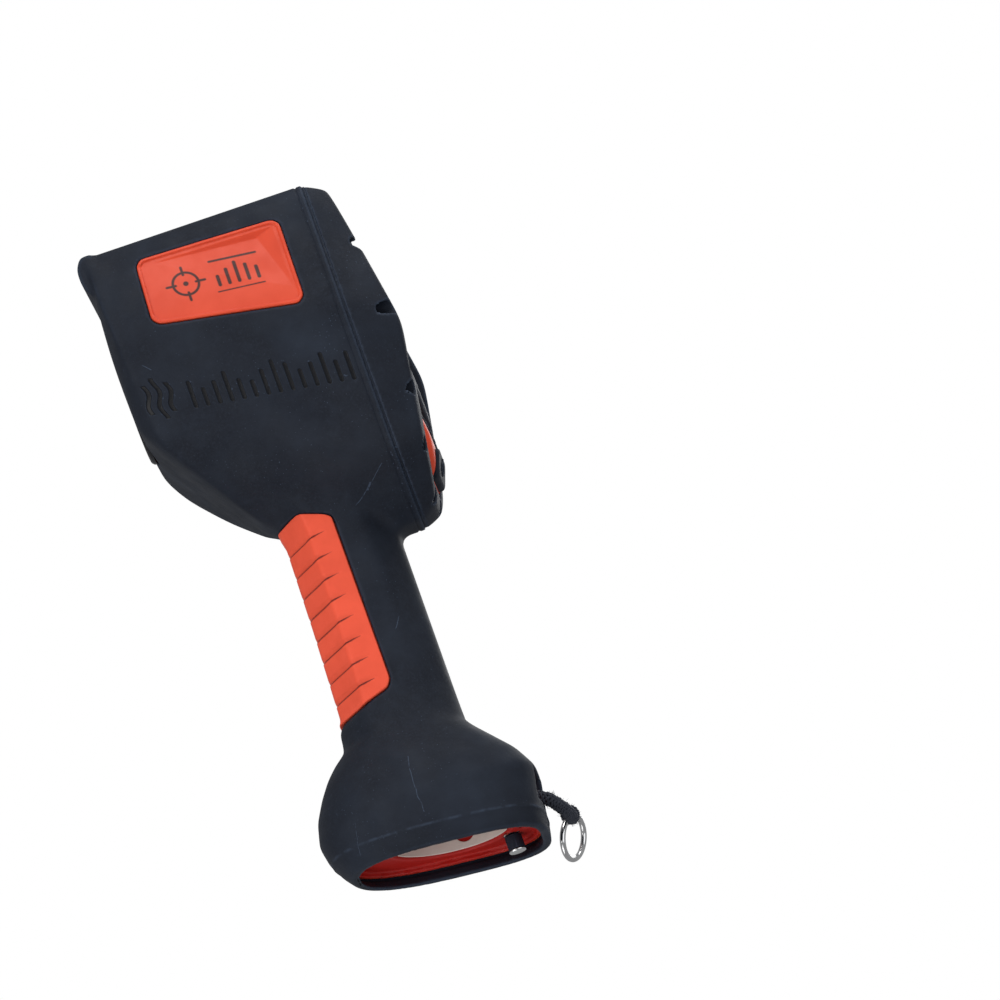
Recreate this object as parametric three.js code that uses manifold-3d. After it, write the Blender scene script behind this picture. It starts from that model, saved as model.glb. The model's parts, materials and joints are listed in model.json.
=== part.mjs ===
// A rugged pistol-grip thermal imaging camera, in millimetres.
// +Z runs up the grip to the head, the lens looks along -X and the display faces +X.
// Pieces are drawn with the grip's axis upright, then the whole is turned to stand on its foot's rim:
// the part's origin is on the rim's front edge, in the plane of symmetry.
import * as THREE from "three";
import { ConvexGeometry } from "three/addons/geometries/ConvexGeometry.js";
import { mergeVertices } from "three/addons/utils/BufferGeometryUtils.js";
import Module from "manifold-3d";

const wasm = await Module();
wasm.setup();

// Driving dimensions
const GAP = 0.3; // clearance between neighbouring pieces
const JACKET = 2.7; // thickness of the rubber jacket
const HOUSING = 2.6; // thickness of the inner housing
const SEAM = 32.5; // x of the seam between the head and the rear bezel
const BEZEL_FRONT = 33.4; // x where the rear bezel starts
const REST_LEAN = -0.11; // the foot's resting plane is z = REST_LEAN * x while the grip is upright
const RIM_X = -41.15; // x of the middle of the rim's front edge
const GRIP_BORE = 17.3; // radius of the battery's bore in the grip
const SEAT_BORE = 23.3; // radius of the seat of the battery cap
const SEAT_TOP = 39.5;
const MOUTH_BORE = 25; // radius of the mouth below the seat
const MOUTH_TOP = 22;
const LEDGE = 8; // height of the ledge around the mouth above the resting plane
const CUP_WALL = 5.6; // from the outside of the jacket to the inside of the foot's cup
const LENS_Z = 221; // height of the lens axis
const SCREW_RADIUS = 1.5;
const SCREW_PLACES = [
  // [half width, height, x of the counterbore's floor], one pair of screws for each line
  [42.6, 244.5, 39],
  [46.2, 213, 41],
  [39, 180, 39.5],
  [30.4, 158.8, 38.5],
  [9.5, 143.3, 36.5],
];
const LANYARD_EXIT = new THREE.Vector3(37.5, 1.5, 13.5);
const LANYARD_EYE = new THREE.Vector3(48, 48, 12.3);
const RING_RADIUS = 9;
const RING_WIRE = 1.25;

// Colours, roughness and metalness of the materials
const material = (color, roughness, metalness = 0) =>
  new THREE.MeshStandardMaterial({ color, roughness, metalness });
const RUBBER = material(0x1e222b, 0.75);
const ORANGE = material(0xd8452c, 0.5);
const ORANGE_GRIP = material(0xde4f38, 0.65);
const BLACK_PLASTIC = material(0x1a1b1e, 0.6);
const GLASS = material(0x0a0c10, 0.08);
const GERMANIUM = material(0x3c3b3a, 0.2, 0.6);
const STEEL = material(0xc4c4c6, 0.2, 1);
const BLACK_STEEL = material(0x2c2c2e, 0.45, 0.8);
const ALUMINIUM = material(0xa9abad, 0.4, 0.9);
const BRASS = material(0xc9a352, 0.35, 0.9);
const BOARD = material(0x1f5a35, 0.55);
const LABEL = material(0xe6e2dc, 0.6);
const CORD = material(0x16171d, 0.95);
const CELL = material(0x2f6d8c, 0.45);
const RED_WIRE = material(0xb02020, 0.5);

// Solids

function solidOf(geometry) {
  const bare = new THREE.BufferGeometry();
  const source = geometry.index ? geometry.toNonIndexed() : geometry;
  bare.setAttribute("position", source.getAttribute("position"));
  const merged = mergeVertices(bare, 1e-4);
  return new wasm.Manifold(
    new wasm.Mesh({
      numProp: 3,
      vertProperties: merged.attributes.position.array,
      triVerts: new Uint32Array(merged.index.array),
    }),
  );
}

function geometryOf(solid) {
  const mesh = solid.getMesh();
  const geometry = new THREE.BufferGeometry();
  geometry.setAttribute("position", new THREE.BufferAttribute(mesh.vertProperties, 3));
  geometry.setIndex(new THREE.BufferAttribute(mesh.triVerts, 1));
  geometry.computeVertexNormals();
  return geometry;
}

const joined = (solids) => solids.reduce((all, next) => all.add(next));
const cut = (solid, ...tools) => tools.reduce((left, tool) => left.subtract(tool), solid);

function box(x0, x1, y0, y1, z0, z1) {
  const geometry = new THREE.BoxGeometry(x1 - x0, y1 - y0, z1 - z0);
  geometry.translate((x0 + x1) / 2, (y0 + y1) / 2, (z0 + z1) / 2);
  return solidOf(geometry);
}

// A cylinder from one point to another.
function rod(radius, from, to, segments = 32, endRadius = radius) {
  const axis = new THREE.Vector3().subVectors(to, from);
  const geometry = new THREE.CylinderGeometry(endRadius, radius, axis.length(), segments);
  geometry.translate(0, axis.length() / 2, 0);
  const up = new THREE.Vector3(0, 1, 0);
  const turn = new THREE.Quaternion().setFromUnitVectors(up, axis.normalize());
  geometry.applyQuaternion(turn);
  geometry.translate(from.x, from.y, from.z);
  return solidOf(geometry);
}

const at = (x, y, z) => new THREE.Vector3(x, y, z);
const rodX = (radius, x0, x1, y, z, segments) => rod(radius, at(x0, y, z), at(x1, y, z), segments);
const rodZ = (radius, z0, z1, segments) => rod(radius, at(0, 0, z0), at(0, 0, z1), segments);

const hull = (points) => solidOf(new ConvexGeometry(points));

// A profile of [x, z] points, extruded along Y from y0 to y1.
function slabY(profile, y0, y1) {
  const shape = new THREE.Shape(profile.map(([x, z]) => new THREE.Vector2(x, z)));
  const geometry = new THREE.ExtrudeGeometry(shape, { depth: y1 - y0, bevelEnabled: false });
  geometry.rotateX(Math.PI / 2);
  geometry.translate(0, y1, 0);
  return solidOf(geometry);
}

// An outline of [y, z] points, extruded along X from x0 to x1.
function slabX(outline, x0, x1) {
  const shape = new THREE.Shape(outline.map(([y, z]) => new THREE.Vector2(y, z)));
  const geometry = new THREE.ExtrudeGeometry(shape, { depth: x1 - x0, bevelEnabled: false });
  geometry.applyMatrix4(new THREE.Matrix4().set(0, 0, 1, x0, 1, 0, 0, 0, 0, 1, 0, 0, 0, 0, 0, 1));
  return solidOf(geometry);
}

// A solid of revolution about the Z axis, from [radius, z] points that run up its outside.
function turned(profile, segments) {
  const points = profile.map(([r, z]) => new THREE.Vector2(r, z));
  const geometry = new THREE.LatheGeometry(points, segments);
  geometry.rotateX(Math.PI / 2);
  return solidOf(geometry);
}

// A closed skin through rings of points, all of the same count, from the first ring to the last.
function loft(rings) {
  const count = rings[0].length;
  const points = rings.flat();
  const faces = [];
  for (let ring = 0; ring < rings.length - 1; ring += 1) {
    for (let step = 0; step < count; step += 1) {
      const a = ring * count + step;
      const b = ring * count + ((step + 1) % count);
      faces.push(a, b, b + count, a, b + count, a + count);
    }
  }
  const last = (rings.length - 1) * count;
  const middle = (ring) => {
    const sum = ring.reduce((total, point) => total.add(point), new THREE.Vector3());
    return sum.divideScalar(count);
  };
  points.push(middle(rings[0]), middle(rings[rings.length - 1]));
  for (let step = 0; step < count; step += 1) {
    const next = (step + 1) % count;
    faces.push(next, step, points.length - 2);
    faces.push(last + step, last + next, points.length - 1);
  }
  const geometry = new THREE.BufferGeometry().setFromPoints(points);
  geometry.setIndex(faces);
  return solidOf(geometry);
}

const mirrorY = (points) => points.flatMap((p) => [p, at(p.x, -p.y, p.z)]);

// The head: the corners of a convex block, [x, y, z, inward x, y, z] for one half

const HEAD_CORNERS = [
  [-60.8, 42.5, 278.4, 1, 0, -1],
  [-60.8, 46.8, 273.5, 1, -1, -0.5],
  [SEAM, 43, 275.9, 0, 0, -1],
  [SEAM, 47.4, 271, 0, -1, -0.5],
  [-63.8, 41, 237, 1, -1, 0],
  [-62.8, 37, 203, 1, -1, 0.5],
  [-59, 54, 241, 1, -1, 0],
  [SEAM, 54, 218.8, 0, -1, 0],
  [-57.6, 37, 192.8, 1, -0.6, 1],
  [-55.4, 42.5, 192.8, 0.6, -1, 0.6],
  [-42.4, 31.5, 173.6, 0.6, -1, 0.8],
  [-26, 13, 155.4, 0.7, -0.7, 0.7],
  [SEAM, 48, 188, 0, -1, 0.2],
  [SEAM, 41, 157.5, 0, -1, 0.6],
  [SEAM, 19, 141, 0, -0.7, 0.8],
  [SEAM, 8, 136.2, 0, -0.4, 1],
  [22, 10, 136.2, 0, -0.5, 1],
];

// The head's block drawn in by an inset; its rear face is at the seam, or past it by tail.
function headBlock(inset, tail = 0) {
  const corners = HEAD_CORNERS.flatMap(([x, y, z, ix, iy, iz]) => {
    const corner = at(x + inset * ix, y + inset * iy, z + inset * iz);
    return x === SEAM && tail ? [corner, at(x + tail, corner.y, corner.z)] : [corner];
  });
  return hull(mirrorY(corners));
}

const behindSeam = (x) => box(x, x + 60, -80, 80, 100, 300);

// The lip that overhangs the front face.
function brow(inset) {
  const half = 46.4 - inset;
  const profile = [
    [-57, 261 + inset],
    [-62.2 + inset, 261 + inset],
    [-65 + inset, 266],
    [-65 + inset, 274],
    [-62.2 + inset, 278.4 - inset],
    [-57, 278.4 - inset],
  ];
  return slabY(profile.reverse(), -half, half);
}

// The stem: the grip above and the foot below, as rings around the Z axis

const RING_POINTS = 24;
const STATIONS = [
  // height on the axis, lean, reach to the front, to the rear and to each side, share of oval
  { z: 0, lean: REST_LEAN, front: 42.5, rear: 38, side: 33.2, oval: 1 },
  { z: 4.5, lean: -0.1, front: 46, rear: 39, side: 35.2, oval: 1 },
  { z: 12, lean: -0.07, front: 49.2, rear: 40, side: 36.4, oval: 1 },
  { z: 22, lean: 0, front: 50.5, rear: 42.4, side: 36.4, oval: 1 },
  { z: 31, lean: 0, front: 48.3, rear: 37.6, side: 34.8, oval: 1 },
  { z: 39, lean: 0, front: 43.9, rear: 30.6, side: 32.2, oval: 1 },
  { z: 45.5, lean: 0, front: 39.4, rear: 25, side: 28.8, oval: 1 },
  { z: 50.5, lean: 0, front: 35.4, rear: 21.8, side: 25.6, oval: 0.8 },
  { z: 55.5, lean: 0, front: 29.4, rear: 21.7, side: 23.4, oval: 0.5 },
  { z: 60, lean: 0, front: 28.8, rear: 21.6, side: 22.6, oval: 0.3 },
  { z: 64.5, lean: 0, front: 28.6, rear: 21.6, side: 22.3, oval: 0.1 },
  { z: 68, lean: 0, front: 25, rear: 21.6, side: 22.1, oval: 0 },
  { z: 108, lean: 0, front: 23.4, rear: 21.7, side: 22, oval: 0 },
  { z: 145, lean: 0, front: 22.6, rear: 21.8, side: 22, oval: 0 },
  { z: 153, lean: 0, front: 24.4, rear: 22.6, side: 23.2, oval: 0 },
  { z: 161, lean: 0, front: 27.5, rear: 24.5, side: 27, oval: 0 },
  { z: 172, lean: 0, front: 33, rear: 28, side: 34, oval: 0 },
];
const CHAMFER_FRONT = 2.53; // direction of the grip's front chamfers
const CHAMFER_REAR = 0.72;
const FRONT_SHARPNESS = 2.5; // of the foot's oval: 2 is an ellipse, and more is squarer
const REAR_SHARPNESS = 3.3;
const GRIP_SHARPNESS = 16;

// The reach from the axis of a polygon with rounded corners, whose walls are [direction, distance].
function roundedReach(walls, sharpness, angle) {
  let sum = 0;
  for (const [direction, distance] of walls) {
    const share = Math.cos(angle - direction);
    if (share > 0) sum += (share / distance) ** sharpness;
  }
  return sum ** (-1 / sharpness);
}

function stemReach(station, angle) {
  const { front, rear, side, oval } = station;
  const sides = [[0, rear], [Math.PI, front], [Math.PI / 2, side], [-Math.PI / 2, side]];
  const chamfers = [-1, 1].flatMap((sign) => [
    [sign * CHAMFER_FRONT, (front + side) / 2],
    [sign * CHAMFER_REAR, (rear + side) / 2 + 0.6],
  ]);
  const grip = roundedReach([...sides, ...chamfers], GRIP_SHARPNESS, angle);
  const sharpness = Math.cos(angle) > 0 ? REAR_SHARPNESS : FRONT_SHARPNESS;
  return oval * roundedReach(sides, sharpness, angle) + (1 - oval) * grip;
}

function stem(inset, stations = STATIONS) {
  const rings = stations.map((station) =>
    Array.from({ length: RING_POINTS }, (_, step) => {
      const angle = (2 * Math.PI * step) / RING_POINTS;
      const reach = stemReach(station, angle) - inset;
      const x = reach * Math.cos(angle);
      return at(x, reach * Math.sin(angle), station.z + station.lean * x);
    }),
  );
  return loft(rings);
}

// The stem carried below the resting plane, so that it cuts right through the rim.
function stemPastRim(inset) {
  const below = { ...STATIONS[0], z: -4 };
  return stem(inset, [below, ...STATIONS]);
}

// Everything below the plane z = height + REST_LEAN * x.
function belowPlane(height) {
  const reach = 70;
  const profile = [
    [-reach, -60],
    [reach, -60],
    [reach, height + REST_LEAN * reach],
    [-reach, height - REST_LEAN * reach],
  ];
  return slabY(profile, -reach, reach);
}

// Openings that several pieces share

const GRIP_WINDOW = [
  [-45, 152.3],
  [-23, 151],
  [-15, 152.2],
  [-3, 147.8],
  [-0.8, 145.8],
  [-0.5, 73.4],
  [-2.6, 70.2],
  [-16, 66.2],
  [-26, 66.8],
  [-45, 67],
];

function gripWindow(shrink) {
  const profile = GRIP_WINDOW.map(([x, z]) => [
    x - shrink,
    THREE.MathUtils.lerp(z, 109, shrink / 40),
  ]);
  return slabY(profile.reverse(), -60, 60);
}

const BADGE_OUTLINE = [
  [-41.6, 265.4],
  [-39, 268],
  [16.6, 264.8],
  [19.4, 262],
  [19, 227.6],
  [16, 225],
  [-40, 236.8],
  [-42.6, 239.8],
];

// The badge's outline as a slab on one side of the head, drawn in by shrink.
function badgeSlab(side, shrink, y0, y1) {
  const centre = [-11.5, 246];
  const profile = BADGE_OUTLINE.map(([x, z]) => [
    x + Math.sign(centre[0] - x) * shrink,
    z + Math.sign(centre[1] - z) * shrink,
  ]);
  const low = Math.min(side * y0, side * y1);
  const high = Math.max(side * y0, side * y1);
  return slabY(profile.reverse(), low, high);
}

const lensHole = (radius) => rodX(radius, -80, -40, 0, LENS_Z, 32);
const rearNotch = () => box(33, 50, -16, 9, 8, 21.5);
const cordExit = () => box(33, 50, -4, 6, 9.5, 18);

// Body pieces

function bodyJacket() {
  const outside = joined([headBlock(0), brow(0), stem(0)]);
  const inside = joined([headBlock(JACKET, 1), stemPastRim(JACKET)]);
  return cut(
    outside,
    inside,
    gripWindow(0),
    badgeSlab(-1, 0, 38, 60),
    badgeSlab(1, 0, 38, 60),
    lensHole(21),
    rearNotch(),
  );
}

function screwBosses() {
  const bosses = SCREW_PLACES.flatMap(([y, z]) =>
    [-1, 1].map((side) => rodX(4.2, 18, SEAM - GAP, side * y, z, 10)),
  );
  return joined(bosses).intersect(headBlock(JACKET + GAP + 0.2));
}

function screwHoles(radius, x0, x1) {
  const holes = SCREW_PLACES.flatMap(([y, z]) =>
    [-1, 1].map((side) => rodX(radius, x0, x1, side * y, z, 8)),
  );
  return joined(holes);
}

function innerHousing() {
  const skin = JACKET + GAP;
  const outside = cut(joined([headBlock(skin), stem(skin)]), behindSeam(SEAM - GAP));
  const room = headBlock(skin + HOUSING, 1);
  const cup = stemPastRim(CUP_WALL).intersect(belowPlane(LEDGE));
  const bores = [
    rodZ(MOUTH_BORE, -10, MOUTH_TOP, 36),
    rodZ(SEAT_BORE, MOUTH_TOP - 1, SEAT_TOP, 36),
    rodZ(GRIP_BORE, SEAT_TOP - 1, 200, 28),
  ];
  const shell = cut(outside, room).add(screwBosses());
  const pocket = box(27.6, 33.4, -6, 10, -10, 17);
  return cut(
    shell,
    cup,
    ...bores,
    pocket,
    cordExit(),
    belowPlane(4.2),
    lensHole(19),
    screwHoles(SCREW_RADIUS + 0.15, 20, SEAM + 1),
    anchorPin(GAP),
    anchorPocket(),
    pivotPin(GAP),
  );
}

const GROOVE_PITCH = 9.3;
const GROOVE_DEPTH = 1;

function gripInsert() {
  const band = cut(stem(-0.9), stem(JACKET));
  const grooves = Array.from({ length: 8 }, (_, step) => {
    const height = 74.5 + step * GROOVE_PITCH;
    return box(-45, -8, -40, 40, height - 0.45, height + 0.45);
  });
  const tool = joined(grooves).subtract(stem(GROOVE_DEPTH));
  return band.intersect(gripWindow(GAP)).subtract(tool);
}

// The badge: a raised lip around a floor that sinks towards its upper rear corner.
function sideBadge(side) {
  const skin = headBlock(-0.4).subtract(headBlock(JACKET - 0.4, 1));
  const plate = badgeSlab(side, GAP, 38, 60).intersect(skin);
  const floor = [
    at(-38, side * 50.4, 262.4),
    at(16.2, side * 48.2, 260.6),
    at(15.8, side * 51.6, 230.4),
    at(-39, side * 53.2, 242.2),
  ];
  const raised = floor.map((p) => at(p.x, side * 62, p.z));
  return plate.subtract(hull([...floor, ...raised]));
}

// The rear bezel: a skin from the outline at the seam to the rim around the display

const SEAM_OUTLINE = [
  [0, 275.9],
  [43, 275.9],
  [47.4, 271],
  [50.6, 245],
  [54, 218.8],
  [48, 188],
  [44.6, 172.6],
  [41, 157.5],
  [30, 149.2],
  [19, 141],
  [8, 136.2],
  [0, 136.2],
];
const RIM_OUTLINE = [
  [41.6, 0, 272.6],
  [41.6, 38.5, 272.6],
  [43.2, 42.2, 265.8],
  [46.6, 44.4, 243.2],
  [51.2, 47, 213],
  [49.1, 43.4, 188.2],
  [47, 40.6, 175],
  [45, 36.2, 161],
  [43.6, 28.6, 152],
  [41.6, 20.4, 145],
  [40.2, 10.5, 140.4],
  [39.8, 0, 140.2],
];
const PLATE_FRONT = 38.2; // the plate that carries the glass
const PLATE_REAR = 40.2;

function closedOutline(half) {
  const back = half.slice(1, -1).reverse();
  return [...half, ...back.map((p) => at(p.x, -p.y, p.z))];
}

const PANEL_OUTLINE = [
  [-28, 184],
  [28, 184],
  [24.4, 158],
  [14, 147.6],
  [-14, 147.6],
  [-24.4, 158],
];
const BUTTON_ROOM = [
  [-18.4, 180],
  [18.4, 180],
  [17.6, 164],
  [14.1, 149.2],
  [-14.1, 149.2],
  [-17.6, 164],
];
const GLASS_HALF = 40;
const GLASS_LOW = 187.5;
const GLASS_HIGH = 262;

function rearBezel() {
  const seam = closedOutline(SEAM_OUTLINE.map(([y, z]) => at(BEZEL_FRONT, y, z)));
  const rim = closedOutline(RIM_OUTLINE.map(([x, y, z]) => at(x, y, z)));
  const body = loft([rim, seam]);
  const roomOutline = [
    [-42, 262],
    [42, 262],
    [46, 219],
    [39, 190],
    [28, 162],
    [10, 150],
    [-10, 150],
    [-28, 162],
    [-39, 190],
    [-46, 219],
  ];
  const glassPocket = box(PLATE_REAR, 70, -GLASS_HALF, GLASS_HALF, GLASS_LOW, GLASS_HIGH);
  const glassWindow = box(30, 70, -37, 37, 194, 256);
  const panelPocket = slabX(PANEL_OUTLINE, PLATE_REAR, 70);
  const panelWindow = slabX(BUTTON_ROOM, 30, 70);
  const counterbores = SCREW_PLACES.flatMap(([y, z, x]) =>
    [-1, 1].map((side) => rodX(3.3, x, 70, side * y, z, 16)),
  );
  return cut(
    body,
    slabX(roomOutline, 30, PLATE_FRONT).subtract(screwPillars()),
    glassPocket,
    glassWindow,
    panelPocket,
    panelWindow,
    ...counterbores,
    screwHoles(SCREW_RADIUS + 0.15, 30, 60),
  );
}

const screwPillars = () => screwHoles(4.3, 30, 45);

// The gasket lies in the groove between the jacket's end and the bezel.
function seamGasket() {
  const ring = headBlock(1, 3).subtract(headBlock(3.2, 3));
  const slice = box(SEAM + 0.1, BEZEL_FRONT - 0.1, -80, 80, 100, 300);
  return ring.intersect(slice);
}

function bezelScrew() {
  const head = rod(2.9, at(0, 0, 0), at(2.6, 0, 0), 14);
  const shank = rod(SCREW_RADIUS, at(-14, 0, 0), at(0.2, 0, 0), 8);
  const socket = rod(1.25, at(1.2, 0, 0), at(3, 0, 0), 6);
  return head.add(shank).subtract(socket);
}

// Display and buttons

function frame(outer, inner, x0, x1) {
  return slabX(outer, x0, x1).subtract(slabX(inner, x0 - 1, x1 + 1));
}

const rectangle = (half, low, high) => [[-half, low], [half, low], [half, high], [-half, high]];

const displayGasket = () =>
  frame(
    rectangle(GLASS_HALF - 1, GLASS_LOW + 1, GLASS_HIGH - 1),
    rectangle(37.6, 193.4, 256.6),
    PLATE_REAR + 0.1,
    PLATE_REAR + 0.7,
  );

function displayGlass() {
  const half = GLASS_HALF - 0.4;
  const low = GLASS_LOW + 0.4;
  const high = GLASS_HIGH - 0.4;
  const x0 = PLATE_REAR + 0.8;
  const face = (x, draw) => rectangle(half - draw, low + draw, high - draw).map(([y, z]) => at(x, y, z));
  return hull([...face(x0, 0), ...face(x0 + 1.2, 0), ...face(x0 + 1.7, 0.6)]);
}

const displayModule = () => box(33.6, PLATE_FRONT - 0.3, -37.8, 37.8, 190.5, 258.5);

const BUTTONS = {
  power: { half: 12.5, y: 0, low: 149.6, high: 161.5, reach: 47.7, slope: 0.34 },
  left: { half: 7, y: -9.2, low: 166.5, high: 178.5, reach: 47.9, slope: -0.18 },
  right: { half: 7, y: 9.2, low: 166.5, high: 178.5, reach: 47.9, slope: -0.18 },
};

// A rounded rectangle of [y, z] points.
function pad(y, half, low, high, radius) {
  const corner = (cy, cz, from) =>
    [0, 0.5, 1].map((share) => {
      const angle = ((from + 90 * share) * Math.PI) / 180;
      return [cy + radius * Math.cos(angle), cz + radius * Math.sin(angle)];
    });
  return [
    ...corner(y - half + radius, low + radius, 180),
    ...corner(y + half - radius, low + radius, 270),
    ...corner(y + half - radius, high - radius, 0),
    ...corner(y - half + radius, high - radius, 90),
  ];
}

function buttonPanel() {
  const base = PANEL_OUTLINE.map(([y, z]) => {
    const drawn = Math.sign(y) * (Math.abs(y) - GAP);
    return at(PLATE_REAR + 0.2, drawn, z + Math.sign(165 - z) * GAP);
  });
  const crest = [
    [45.8, 21.5, 180],
    [48, 20, 164],
    [46.6, 17.5, 156],
    [43.6, 12, 149],
  ];
  const plate = hull([...base, ...mirrorY(crest.map(([x, y, z]) => at(x, y, z)))]);
  const room = slabX(BUTTON_ROOM, 30, 42.4);
  const holes = Object.values(BUTTONS).map(({ half, y, low, high }) =>
    slabX(pad(y, half + GAP, low - GAP, high + GAP, 3.3), 30, 60),
  );
  return cut(plate, room, ...holes);
}

// A rubber key with a sloping, drawn-in crown, kept in by a flange behind the panel.
function button({ half, y, low, high, reach, slope }) {
  const outline = (draw) => pad(y, half - draw, low + draw, high - draw, 3 - draw / 2);
  const middle = (low + high) / 2;
  const ring = (x, draw, lean = slope) =>
    outline(draw).map(([py, pz]) => at(x + lean * (pz - middle), py, pz));
  const flange = slabX(pad(y, half + 0.8, low + 0.6, high - 0.6, 2.4), 39.4, 41.2);
  return hull([...ring(39.4, 0, 0), ...ring(reach - 1.2, 0), ...ring(reach, 1.4)]).add(flange);
}

const buttonBoard = () => box(34.6, 36.2, -15.4, 15.4, 154, 179);

// Lens, detector and electronics

function lensRing() {
  const profile = [
    [14.2, 0],
    [20.6, 0],
    [20.6, 1.2],
    [19.6, 2.2],
    [17.2, 2.2],
    [14.2, 0.9],
    [14.2, 0],
  ];
  return turned(profile, 32);
}

const turnedPart = (profile, segments) => () => turned(profile, segments);
const frontWindow = turnedPart([[0, 0], [15.6, 0], [15.6, 2.4], [0, 2.4]], 28);
const windowGasket = turnedPart([[14, 0], [15.6, 0], [15.6, 0.8], [14, 0.8], [14, 0]], 24);
const lensBarrel = turnedPart(
  [[10.4, 0], [13.4, 0], [13.4, 9], [11.8, 9], [11.8, 19], [8.6, 19], [8.6, 6], [10.4, 6], [10.4, 0]],
  24,
);
const lensElement = turnedPart([[0, 0.9], [4, 0.5], [8, 0], [10.1, 0], [10.1, 3.2], [6, 4.4], [0, 5]], 20);

const SHUTTER_PIVOT = at(-36.4, 15, LENS_Z - 9);

function shutterFlag() {
  const x = SHUTTER_PIVOT.x;
  const blade = rodX(9.2, x, x + 0.8, 0, LENS_Z, 24);
  const arm = hull(
    [x, x + 0.8].flatMap((px) => [
      at(px, 5, LENS_Z + 2),
      at(px, 3, LENS_Z - 5),
      at(px, 15.5, LENS_Z - 11.5),
      at(px, 17.5, LENS_Z - 8),
    ]),
  );
  const pivot = rodX(1.4, x - 1.2, x + 0.8, SHUTTER_PIVOT.y, SHUTTER_PIVOT.z, 14);
  return joined([blade, arm, pivot]);
}

function sensorHousing() {
  const block = box(-34.8, -22, -19, 19, LENS_Z - 18, LENS_Z + 16);
  return cut(block, rodX(8.4, -40, -26, 0, LENS_Z, 20));
}

const sensorArray = () => box(-28.4, -26.4, -5, 5, LENS_Z - 4.6, LENS_Z + 4.6);
const heatSpreader = () => box(-21.6, -19.4, -24, 24, LENS_Z - 24, LENS_Z + 24);
const mainBoard = () => box(20.4, 22, -35, 35, 196, 262);
const processorShield = () => box(22.3, 25.6, -14, 14, 226, 254);

function sensorFlex() {
  const path = [
    [-19, 248],
    [-8, 251],
    [8, 251],
    [20, 248],
  ];
  return slabY(thickened(path, 0.5), -6, 6);
}

function displayFlex() {
  const path = [
    [22.4, 205],
    [26, 203],
    [30, 203],
    [33.2, 205],
  ];
  return slabY(thickened(path, 0.5), -9, 9);
}

// A closed [x, z] outline around an open path, thickness high.
function thickened(path, thickness) {
  const upper = path.map(([x, z]) => [x, z + thickness]).reverse();
  return [...path, ...upper];
}

const CONTACT_X = [0, 8]; // the centre contact and the one that meets the ring

function contactBlock() {
  const block = box(-15, 15, -15, 15, 186, 193);
  const holes = CONTACT_X.map((x) => rod(2.6, at(x, 0, 180), at(x, 0, 200), 12));
  return cut(block, ...holes);
}

// A spring contact: a pin in a collar that presses down on the battery.
function springContact(x) {
  const pin = rod(1.2, at(x, 0, 179.8), at(x, 0, 186), 10);
  const collar = rod(2.2, at(x, 0, 185), at(x, 0, 194.5), 10);
  return pin.add(collar);
}

function powerLead(x, y) {
  const curve = new THREE.CatmullRomCurve3([
    at(x, 0, 194.9),
    at(x, y * 0.4, 203),
    at(10, y, 212),
    at(19.9, y, 214),
  ]);
  const circle = new THREE.Shape();
  circle.absarc(0, 0, 0.8, 0, 2 * Math.PI);
  const options = { steps: 8, curveSegments: 2, extrudePath: curve, bevelEnabled: false };
  return solidOf(new THREE.ExtrudeGeometry(circle, options));
}

// Battery: it stands on its cap, with the fins below the flange

const CASE_LOW = 37.6;
const CASE_HIGH = 179;
const CELL_LENGTH = 65.5;
const CELL_RADIUS = 13.2;

function batteryCase() {
  const outside = rodZ(15.6, CASE_LOW, CASE_HIGH, 28);
  const ribs = Array.from({ length: 8 }, (_, step) => {
    const rib = new THREE.BoxGeometry(1.6, 2.2, 56);
    rib.translate(15.6, 0, 90);
    rib.rotateZ((step * Math.PI) / 4 + Math.PI / 8);
    return solidOf(rib);
  });
  const band = rodZ(16.4, 162, 166, 28);
  const cells = rodZ(CELL_RADIUS + GAP, CASE_LOW - 1, CASE_HIGH - 3, 24);
  const ringGroove = rodZ(9.8, CASE_HIGH - 0.8, CASE_HIGH + 1, 24).subtract(
    rodZ(6.2, CASE_HIGH - 2, CASE_HIGH + 2, 20),
  );
  const centreHole = rodZ(3, 170, 190, 16);
  return cut(joined([outside, band, ...ribs]), cells, ringGroove, centreHole);
}

const cell = () => rodZ(CELL_RADIUS, 0, CELL_LENGTH, 24).add(rodZ(4, 1, CELL_LENGTH + 1, 12));

// The pads at the case's top: a stud in the middle and a ring around it.
const centrePad = () => rodZ(2.6, CASE_HIGH - 3.6, CASE_HIGH + 0.3, 14);
const ringPad = () => turned([[6.6, 178.4], [9.4, 178.4], [9.4, 179.3], [6.6, 179.3], [6.6, 178.4]], 20);

function batteryCap() {
  const body = turned(
    [
      [0, 26.8],
      [22.8, 26.8],
      [22.8, 31],
      [19.8, 31.6],
      [19.8, 36.6],
      [13.2, 37.4],
      [13.2, 40],
      [0, 40],
    ],
    32,
  );
  // Fins hang from the flange and taper to a horn at one end.
  const fins = [-1, 1].flatMap((side) =>
    [[7.6, 13.6, 20], [14.6, 15.6, 15.4]].map(([y, low, half]) =>
      slabY(
        [
          [-half, 27],
          [half, 27],
          [half, low + 3],
          [half - 3, low],
          [half - 6.5, 21],
          [-half + 6.5, 21],
          [-half + 3, low],
          [-half, low + 3],
        ].reverse(),
        side * y - 1.2,
        side * y + 1.2,
      ),
    ),
  );
  const tab = box(-9, 9, -5.2, 5.2, 11.5, 27.2).subtract(box(-7, 7, -3.4, 7, 13.8, 25));
  return joined([body, ...fins, tab]);
}

const batteryOring = turnedPart(
  [[20, 32.2], [22, 32], [23, 33], [23, 35.2], [22, 36.2], [20, 36], [20, 32.2]],
  32,
);

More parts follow.
